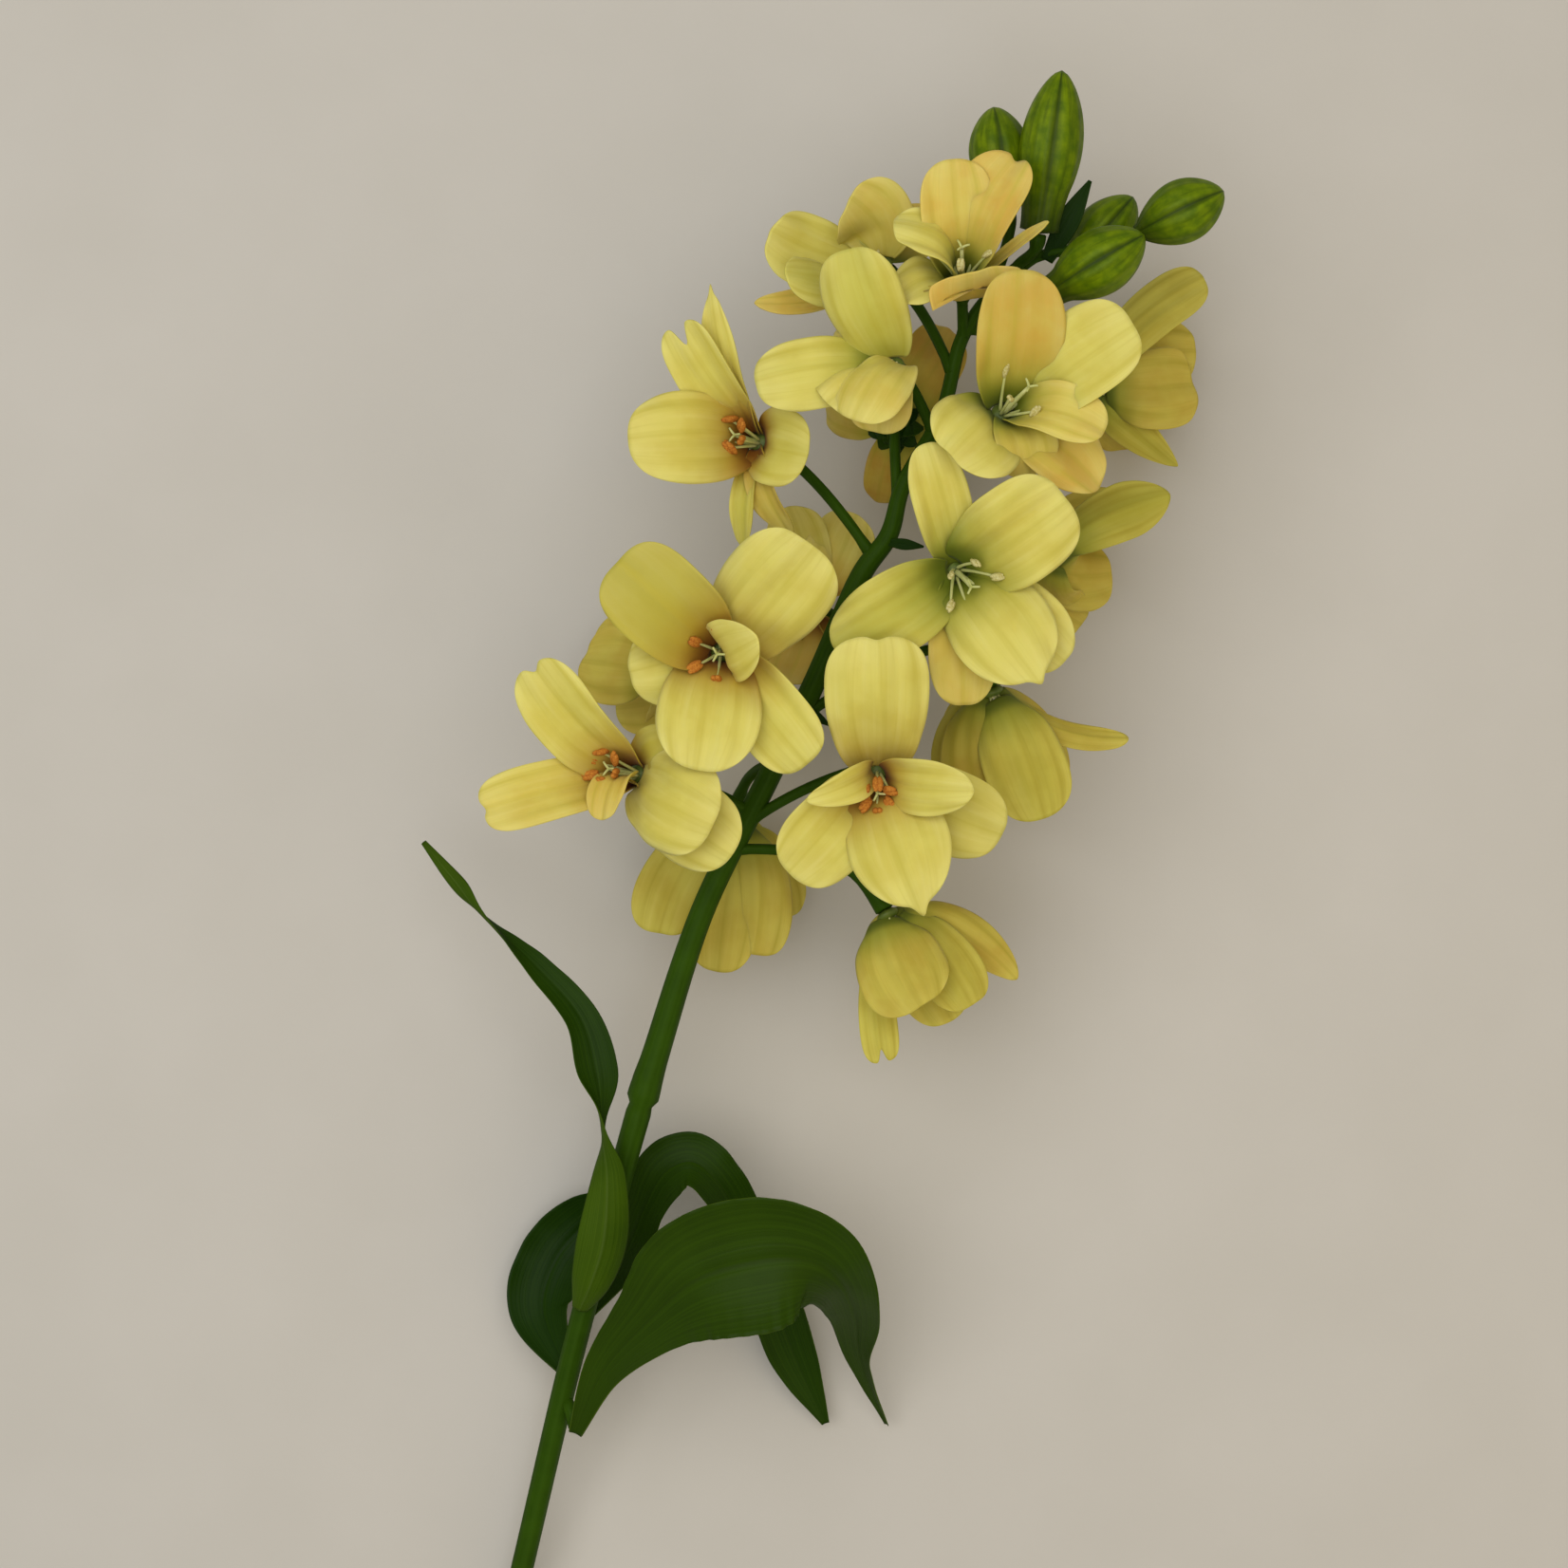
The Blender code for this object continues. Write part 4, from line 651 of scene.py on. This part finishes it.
def makeHeart(letter, bloom):
    bm = newMesh()
    rusty = bloom.get("pollen") == "rust"
    steps = heart["threadSteps"]

    def dome(u, v):
        lean = math.pi * (u - 0.5)
        height = math.sin(lean) * (heart["domeHeight"] if lean > 0 else heart["back"])
        return Vector((math.cos(lean) * math.cos(math.pi * v) * heart["radius"],
                       math.cos(lean) * math.sin(math.pi * v) * heart["radius"], height))

    closeUp(bm, shapedSheet(bm, heart["sides"], heart["rings"], dome))
    length = bloom.get("threads", heart["threads"])
    # stamens that stay inside a closed bell are short, and the rust anthers are the fullest
    size = min(1.0, length / heart["shortBelow"]) * (heart["rustFuller"] if rusty else 1.0)
    lean = turnedTo(bloom["faces"]).inverted() @ Vector(bloom.get("lean", (0, 0, 0)))
    spread = math.radians(bloom.get("spread", heart["rustSpread"] if rusty else heart["spread"]))
    for i in range(6):
        turn = math.pi / 3 * (i + 0.5) + 0.25 * noise.noise(Vector((i, bloom["at"][0], 0)))
        outward = Vector((math.cos(turn), math.sin(turn), 0))
        reach = length * (1 + 0.12 * noise.noise(Vector((i, bloom["at"][1], 3))))
        points = []
        for step in range(steps + 1):
            s = step / steps
            points.append(outward * (1.0 + reach * math.sin(spread) * s ** 1.3) + lean * s ** 1.6
                          + Vector((0, 0, heart["domeHeight"] - 0.8 + reach * math.cos(spread) * s)))
        rod(bm, points, [heart["thread"] * (1 - 0.35 * k / steps) for k in range(steps + 1)], 8, material=1)
        top = points[-1]
        across = outward.cross(Vector((0, 0, 1)))
        axis = (points[-1] - points[-2]).normalized() + outward * 0.9 * math.cos(2.3 * i)
        for side in (-1, 1):
            middle = top + across * side * heart["antherRadius"] * size * 0.55
            lobe = []
            fat = []
            for k in range(steps + 1):
                lobe.append(middle + axis.normalized() * heart["anther"] * size * (k / steps - 0.5))
                swell = math.sin(math.pi * (0.08 + 0.84 * k / steps)) ** 0.6
                fat.append(heart["antherRadius"] * size * swell)
            rod(bm, lobe, fat, 8, material=2)
    styleLength = min(heart["style"], length) - heart["styleLess"]
    style = []
    for k in range(steps + 1):
        height = heart["domeHeight"] - 0.6 + styleLength * k / steps
        style.append(lean * 0.8 * (k / steps) ** 1.6 + Vector((0, 0, height)))
    taper = [heart["styleRadius"] * (1.5 - 0.7 * k / steps) for k in range(steps + 1)]
    rod(bm, style, taper, 10, material=1)
    for i in range(3):
        turn = 2 * math.pi / 3 * i
        out = Vector((math.cos(turn), math.sin(turn), 0))
        lobe = []
        for k in range(6):
            s = k / 5
            lobe.append(style[-1] + out * heart["lobe"] * s ** 1.6
                        + Vector((0, 0, heart["lobe"] * s * (1.2 - 0.5 * s))))
        rod(bm, lobe, [heart["lobeRadius"] - 0.14 * k / 5 for k in range(6)], 8, material=1)
    closeUp(bm, bm.verts)
    turned = Matrix.Translation(bloom["at"]) @ turnedTo(bloom["faces"])
    bmesh.ops.transform(bm, matrix=turned, verts=bm.verts)
    materials = [receptacleSkin, filamentSkin, rustPollen if rusty else creamPollen]
    putInPlace("stamens" + letter, bm, materials, "bloom_" + letter + "_stamens")


for letter, bloom in blooms.items():
    makePetals(letter, bloom)
    makeHeart(letter, bloom)
print("blooms made:", len(blooms))

# Stem, its stalks and bracts
stem = {
    "line": [(-94.2, -304.6, 3.18, 3.2), (-75.3, -225.4, 13.0, 3.2), (-60.9, -165.3, 26.0, 3.3),
             (-49.5, -123.0, 35.5, 3.4), (-39.4, -87.3, 42.4, 3.6), (-36.0, -76.0, 44.6, 3.8),
             (-22.6, -35.2, 51.0, 3.3), (-4.7, 1.0, 56.0, 3.2), (8.8, 28.9, 60.0, 3.1),
             (20.5, 56.1, 61.0, 2.9), (28.6, 68.0, 62.0, 2.6), (32.7, 82.0, 63.0, 2.2),
             (43.0, 101.0, 64.0, 2.0), (48.3, 121.0, 66.0, 1.9), (57.0, 134.0, 68.0, 1.8),
             (66.0, 142.0, 70.0, 1.7)],
    "steps": 180, "sides": 28, "ribs": 9,
    "joint": -87.3, "jointRise": 0.9, "jointAbove": 7.0, "jointBelow": 0.8,
    "notch": 0.35, "notchWidth": 1.1,
    "stub": [(-62.5, -173.5, 24.5), (-60.2, -178.5, 26.5), (-59.2, -182.0, 28.0)], "stubRadius": 1.9,
    "stalkRadius": 1.5, "capRadius": 2.7, "capLength": 1.5, "budCap": 2.2, "stalkSteps": 18,
    "pullStart": 0.33, "pullEnd": 0.42, "rise": 0.12, "gap": 0.3, "coreBack": 1.4}
buds = {
    "bud_1": {"base": (60.5, 156.0, 71.5), "tip": (56.6, 183.0, 73.0), "radius": 8.4, "club": 0.0,
              "stalkFrom": 134.0},
    "bud_2": {"base": (68.5, 148.0, 77.0), "tip": (74.2, 190.5, 84.5), "radius": 8.4, "club": 0.62,
              "stalkFrom": 139.0},
    "bud_3": {"base": (94.5, 148.0, 76.0), "tip": (118.0, 159.0, 80.0), "radius": 8.6, "club": 0.0,
              "stalkFrom": 141.0},
    "bud_4": {"base": (77.5, 139.0, 60.0), "tip": (95.5, 160.5, 62.0), "radius": 8.0, "club": 0.0,
              "stalkFrom": 137.0},
    "bud_5": {"base": (70.5, 131.0, 83.0), "tip": (95.5, 145.5, 91.0), "radius": 8.8, "club": 0.5,
              "stalkFrom": 131.0},
}
bracts = [((71.0, 141.5, 72.0), (82.5, 162.5, 76.0), 3.3),
          ((28.0, 66.0, 63.5), (38.0, 64.5, 67.0), 1.6),
          ((5.0, 21.0, 59.5), (12.5, 16.0, 62.5), 1.5)]

# tuft of small sepals on the back of the bloom that looks away
pom = {"at": (30.8, 98.8, 55.2), "faces": (-0.15, -0.3, 0.94),
       "rings": [(7.8, 2.5, 9, 2.4), (5.6, 4.2, 7, 2.0), (3.2, 5.4, 5, 1.6)]}


def stemAt(height):
    low, high = 0.0, 1.0
    for _ in range(40):
        middle = (low + high) / 2
        if alongCurve(stem["line"], middle)[1] < height:
            low = middle
        else:
            high = middle
    return Vector(alongCurve(stem["line"], low)[:3])


def stalkInto(bm, start, end, arrives, capRadius, by=(0, 0, 0)):
    arrives = Vector(arrives).normalized()
    neck = end - arrives * stem["capLength"]
    reach = (neck - start).length
    first = start + (neck - start) * stem["pullStart"] + Vector((0, stem["rise"], 0)) * reach + Vector(by)
    second = neck - arrives * reach * stem["pullEnd"] + Vector(by)
    points = []
    radii = []
    for step in range(stem["stalkSteps"]):
        t = step / (stem["stalkSteps"] - 1)
        points.append(start * (1 - t) ** 3 + first * 3 * t * (1 - t) ** 2
                      + second * 3 * t * t * (1 - t) + neck * t ** 3)
        widening = (capRadius - stem["stalkRadius"]) * ease(t, 0.72, 1.0)
        radii.append(stem["stalkRadius"] + widening + 0.5 * (1 - ease(t, 0, 0.12)))
    points += [end, end + arrives * 0.3]
    radii += [capRadius, capRadius * 0.8]
    rod(bm, points, radii, 14, ribs=5)


def leafPlace(stations, cup):
    def place(u, v):
        x, y, z, half, turn = alongCurve(stations, u)
        ahead = Vector(alongCurve(stations, u + 0.01)[:3])
        behind = Vector(alongCurve(stations, u - 0.01)[:3])
        heading = (ahead - behind).normalized()
        up = (Vector((0, 0, 1)) - heading * heading.z).normalized()
        up = Matrix.Rotation(math.radians(turn), 3, heading) @ up
        sideways, lift = arcAcross(half, math.radians(cup), v)
        # the midrib, nine parallel veins and the waved margin
        lift -= half * 0.05 * bell(v, 0.06)
        lift += 0.05 * math.cos(2 * math.pi * 9 * v) * (1 - abs(v))
        lift += half * 0.03 * math.sin(21.0 * u + x) * abs(v) ** 3 * ease(u, 0.05, 0.3)
        return Vector((x, y, z)) + heading.cross(up) * sideways + up * lift

    return place


def makeStem():
    bm = newMesh()
    points = []
    radii = []
    for step in range(stem["steps"] + 1):
        x, y, z, radius = alongCurve(stem["line"], step / stem["steps"])
        points.append(Vector((x, y, z)))
        above = y - stem["joint"]
        rise = stem["jointRise"] * bell(above, stem["jointAbove"] if above > 0 else stem["jointBelow"])
        notch = stem["notch"] * bell(above + 2 * stem["notchWidth"], stem["notchWidth"])
        radii.append(radius + rise - notch)
    rod(bm, points, radii, stem["sides"], ribs=stem["ribs"])
    for letter, bloom in blooms.items():
        facing = Vector(bloom["faces"]).normalized()
        end = Vector(bloom["at"]) - facing * (stem["coreBack"] + stem["gap"])
        by = bloom.get("stalkBy", (0, 0, 0))
        stalkInto(bm, stemAt(bloom["stalkFrom"]), end, facing, stem["capRadius"], by)
    for bud in buds.values():
        heading = (Vector(bud["tip"]) - Vector(bud["base"])).normalized()
        end = Vector(bud["base"]) - heading * stem["gap"]
        stalkInto(bm, stemAt(bud["stalkFrom"]), end, heading, stem["budCap"])
    rod(bm, [Vector(place) for place in stem["stub"]], [stem["stubRadius"]] * 3, 16)
    closeUp(bm, bm.verts)
    putInPlace("stemAndStalks", bm, [stemSkin], "stem")
    bm = newMesh()
    for root, tip, half in bracts:
        belly = Vector(root).lerp(Vector(tip), 0.5)
        stations = [(*root, half * 0.5, 0), (*belly, half, 0), (*tip, half * 0.15, 0)]
        shapedSheet(bm, 12, 20, leafPlace(stations, 30.0), (0, 0, 0.6, 1))
    for reach, rise, count, half in pom["rings"]:
        for i in range(count):
            turn = 2 * math.pi * (i + 0.5 * reach) / count
            out = turnedTo(pom["faces"]) @ Vector((math.cos(turn), math.sin(turn), 0))
            lift = Vector(pom["faces"]).normalized()
            stations = [(*(Vector(pom["at"]) + out * 0.8 + lift * 0.5), half * 0.6, 0),
                        (*(Vector(pom["at"]) + out * reach * 0.6 + lift * rise), half, 0),
                        (*(Vector(pom["at"]) + out * reach + lift * rise * 0.4), half * 0.2, 0)]
            tint = (0, 0.1 * (i % 3), 0.7 - 0.2 * (i % 3), 1)
            shapedSheet(bm, 8, 10, leafPlace(stations, 40.0), tint)
    piece = putInPlace("bracts", bm, [leafUpper, leafUnder], "stem")
    giveThickness(piece, 0.6, 0.4)


makeStem()
print("stem made")

# Leaves: places along the middle, half width, and turn about the middle in degrees, where 0
# shows the upper side to the viewer
leafShape = {"across": 28, "along": 96, "cup": 38.0, "thickness": 0.6, "edge": 0.4}
# Each leaf's tint holds a yellow-green share and a dark share; the dark share is painted shade, strongest
# on leaf_back
leaves = {
    "leaf_twisted": {"tint": (0, 0.0, 0.1, 1), "line": [
        (-57.6, -148.0, 34.2, 2.2, 185), (-54.0, -139.5, 40.5, 6.0, 185), (-50.2, -126.5, 44.5, 7.6, 190),
        (-49.0, -108.5, 48.0, 5.0, 165), (-50.4, -94.5, 51.0, 2.6, 90), (-51.9, -80.0, 51.0, 6.2, 20),
        (-56.5, -64.5, 50.0, 5.2, 20), (-69.0, -50.6, 46.0, 3.8, 25), (-83.6, -37.5, 40.0, 1.8, 95),
        (-91.6, -28.2, 36.0, 2.4, 170), (-101.8, -16.4, 31.0, 0.8, 180)]},
    "leaf_large": {"tint": (0, 0.25, 0.0, 1), "line": [
        (-58.9, -183.4, 30.2, 2.0, 0), (-50.6, -164.5, 37.0, 6.0, -14), (-37.2, -148.5, 48.0, 11.0, -12),
        (-24.2, -136.4, 57.0, 18.0, -8), (-6.3, -130.6, 62.0, 20.0, 0), (7.5, -131.0, 60.0, 15.5, 8),
        (16.0, -138.0, 52.0, 10.5, 18), (20.0, -149.0, 38.0, 8.6, 30), (22.0, -165.0, 19.0, 4.6, 45),
        (29.9, -185.6, 4.5, 0.9, 60)]},
    "leaf_arched": {"tint": (0, 0.1, 0.1, 1), "line": [
        (-57.2, -151.0, 25.2, 2.5, 0), (-45.5, -134.0, 19.0, 6.4, 10), (-39.8, -120.5, 22.0, 6.4, 0),
        (-34.0, -110.2, 25.5, 8.6, -10), (-25.8, -107.0, 27.0, 8.4, -20), (-18.0, -114.0, 26.0, 7.6, -20),
        (-11.5, -127.0, 21.5, 7.6, -10), (-4.0, -145.0, 14.5, 8.0, 0), (3.5, -166.0, 8.5, 7.2, 10),
        (12.1, -185.2, 5.0, 1.2, 10)]},
    "leaf_back": {"tint": (0, 0.0, 0.5, 1), "line": [
        (-62.0, -167.0, 21.9, 2.5, 0), (-69.5, -151.5, 12.0, 9.8, -10), (-66.0, -137.5, 8.0, 11.0, -10),
        (-56.5, -126.5, 6.5, 9.5, 0), (-46.8, -119.2, 6.0, 2.0, 0)]},
}
for name, leaf in leaves.items():
    bm = newMesh()
    place = leafPlace(leaf["line"], leafShape["cup"])
    shapedSheet(bm, leafShape["across"], leafShape["along"], place, leaf["tint"])
    piece = putInPlace(name.replace("_", "") + "Blade", bm, [leafUpper, leafUnder], name)
    giveThickness(piece, leafShape["thickness"], leafShape["edge"])
print("leaves made:", len(leaves))

# Buds: three sepals wrapped round each other, with a dark seam between each two
budShape = {"sides": 72, "rings": 48, "seam": 0.10, "seamWidth": 0.16, "ribs": 12, "rib": 0.015,
            "blunt": 0.62, "neck": 0.27}


def budRadius(t, club):
    # widest past the middle and blunt at the tip; a club keeps much of its width down to the stalk
    swell = max(math.sin(math.pi * t ** 1.12), 0.0) ** budShape["blunt"]
    shoulder = club + (1 - club) * ease(t, 0.05, 0.55)
    return max(swell, shoulder if t < 0.5 and club else 0.0, budShape["neck"] if t < 0.3 else 0.0)


for name, bud in buds.items():
    bm = newMesh()
    axis = Vector(bud["tip"]) - Vector(bud["base"])
    towardsViewer = turnedTo(axis).inverted() @ Vector((0, 0, 1))
    front = math.atan2(towardsViewer.y, towardsViewer.x)

    def seamCloseness(v):
        turn = (math.pi * v - front) * 1.5
        return bell(math.sin(turn), budShape["seamWidth"])

    def budPlace(u, v):
        turn = math.pi * v
        share = budRadius(u, bud["club"]) if 0 < u < 1 else 0.0
        dent = budShape["seam"] * seamCloseness(v) + budShape["rib"] * math.cos(budShape["ribs"] * turn)
        wide = bud["radius"] * share * (1 - dent)
        return Vector((wide * math.cos(turn), wide * math.sin(turn), u * axis.length))

    def budTint(u, v):
        return 0, 0, max(0.85 * seamCloseness(v), 0.8 * (1 - ease(u, 0.0, 0.4))), 1

    closeUp(bm, shapedSheet(bm, budShape["sides"], budShape["rings"], budPlace, budTint))
    bmesh.ops.transform(bm, matrix=Matrix.Translation(bud["base"]) @ turnedTo(axis), verts=bm.verts)
    putInPlace(name.replace("_", ""), bm, [budSkin], name)
print("buds made:", len(buds))

# Surface, light and camera
stage = {"half": 3.0}
bm = bmesh.new()
bmesh.ops.create_grid(bm, x_segments=1, y_segments=1, size=stage["half"])
floorMesh = bpy.data.meshes.new("paleFloor")
bm.to_mesh(floorMesh)
bm.free()
floor = bpy.data.objects.new("paleFloor", floorMesh)
scene.collection.objects.link(floor)
# painted plaster: matt, with a very faint roller texture
plaster, tree, shader = newMaterial("painted plaster", 0.85, 1.45)
where = addNode(tree, "TexCoord").outputs["Object"]
mottle = addNode(tree, "TexNoise", {"Vector": where, "Scale": 1 / (60 * mm), "Detail": 4.0})
mask = addNode(tree, "MapRange", {0: mottle.outputs[0], 1: 0.35, 2: 0.65, 4: 0.5})
tree.links.new(layered(tree, "#cac6be", [("#c4c0b7", mask.outputs[0])]), shader.inputs["Base Color"])
roller = addNode(tree, "TexNoise", {"Vector": where, "Scale": 1 / (2.5 * mm), "Detail": 3.0})
bump = addNode(tree, "Bump", {"Height": roller.outputs[0], "Strength": 0.12, "Distance": 0.4 * mm})
tree.links.new(bump.outputs[0], shader.inputs["Normal"])
floorMesh.materials.append(plaster)

scene.view_settings.view_transform = "Standard"
world = bpy.data.worlds.new("soft room light")
scene.world = world
world.use_nodes = True
world.node_tree.nodes["Background"].inputs["Color"].default_value = fromHex("#f3f3f2")
world.node_tree.nodes["Background"].inputs["Strength"].default_value = 0.37

lamps = {
    "window": {"at": (-240, 150, 1250), "size": 1.4, "power": 11.5, "colour": "#fffdfa"},
    "fill": {"at": (700, -300, 900), "size": 1.2, "power": 2.4, "colour": "#ffdc90"},
}
for name, lamp in lamps.items():
    data = bpy.data.lights.new(name, "AREA")
    data.size = lamp["size"]
    data.energy = lamp["power"]
    data.color = fromHex(lamp["colour"])[:3]
    light = bpy.data.objects.new(name, data)
    scene.collection.objects.link(light)
    light.location = ontoSurface @ Vector(lamp["at"])
    target = ontoSurface @ Vector((0, 20, 60))
    light.rotation_euler = (target - light.location).to_track_quat("-Z", "Y").to_euler()

view = {"lens": 80.0, "sensor": 36.0, "height": 1014.5}     # straight down onto the middle of the photo
cameraData = bpy.data.cameras.new("camera")
cameraData.lens = view["lens"]
cameraData.sensor_width = view["sensor"]
camera = bpy.data.objects.new("camera", cameraData)
scene.collection.objects.link(camera)
camera.location = ontoSurface @ Vector((0, 0, view["height"]))
camera.rotation_euler = (0, 0, math.radians(laid["lean"]))
scene.camera = camera

bpy.context.view_layer.update()
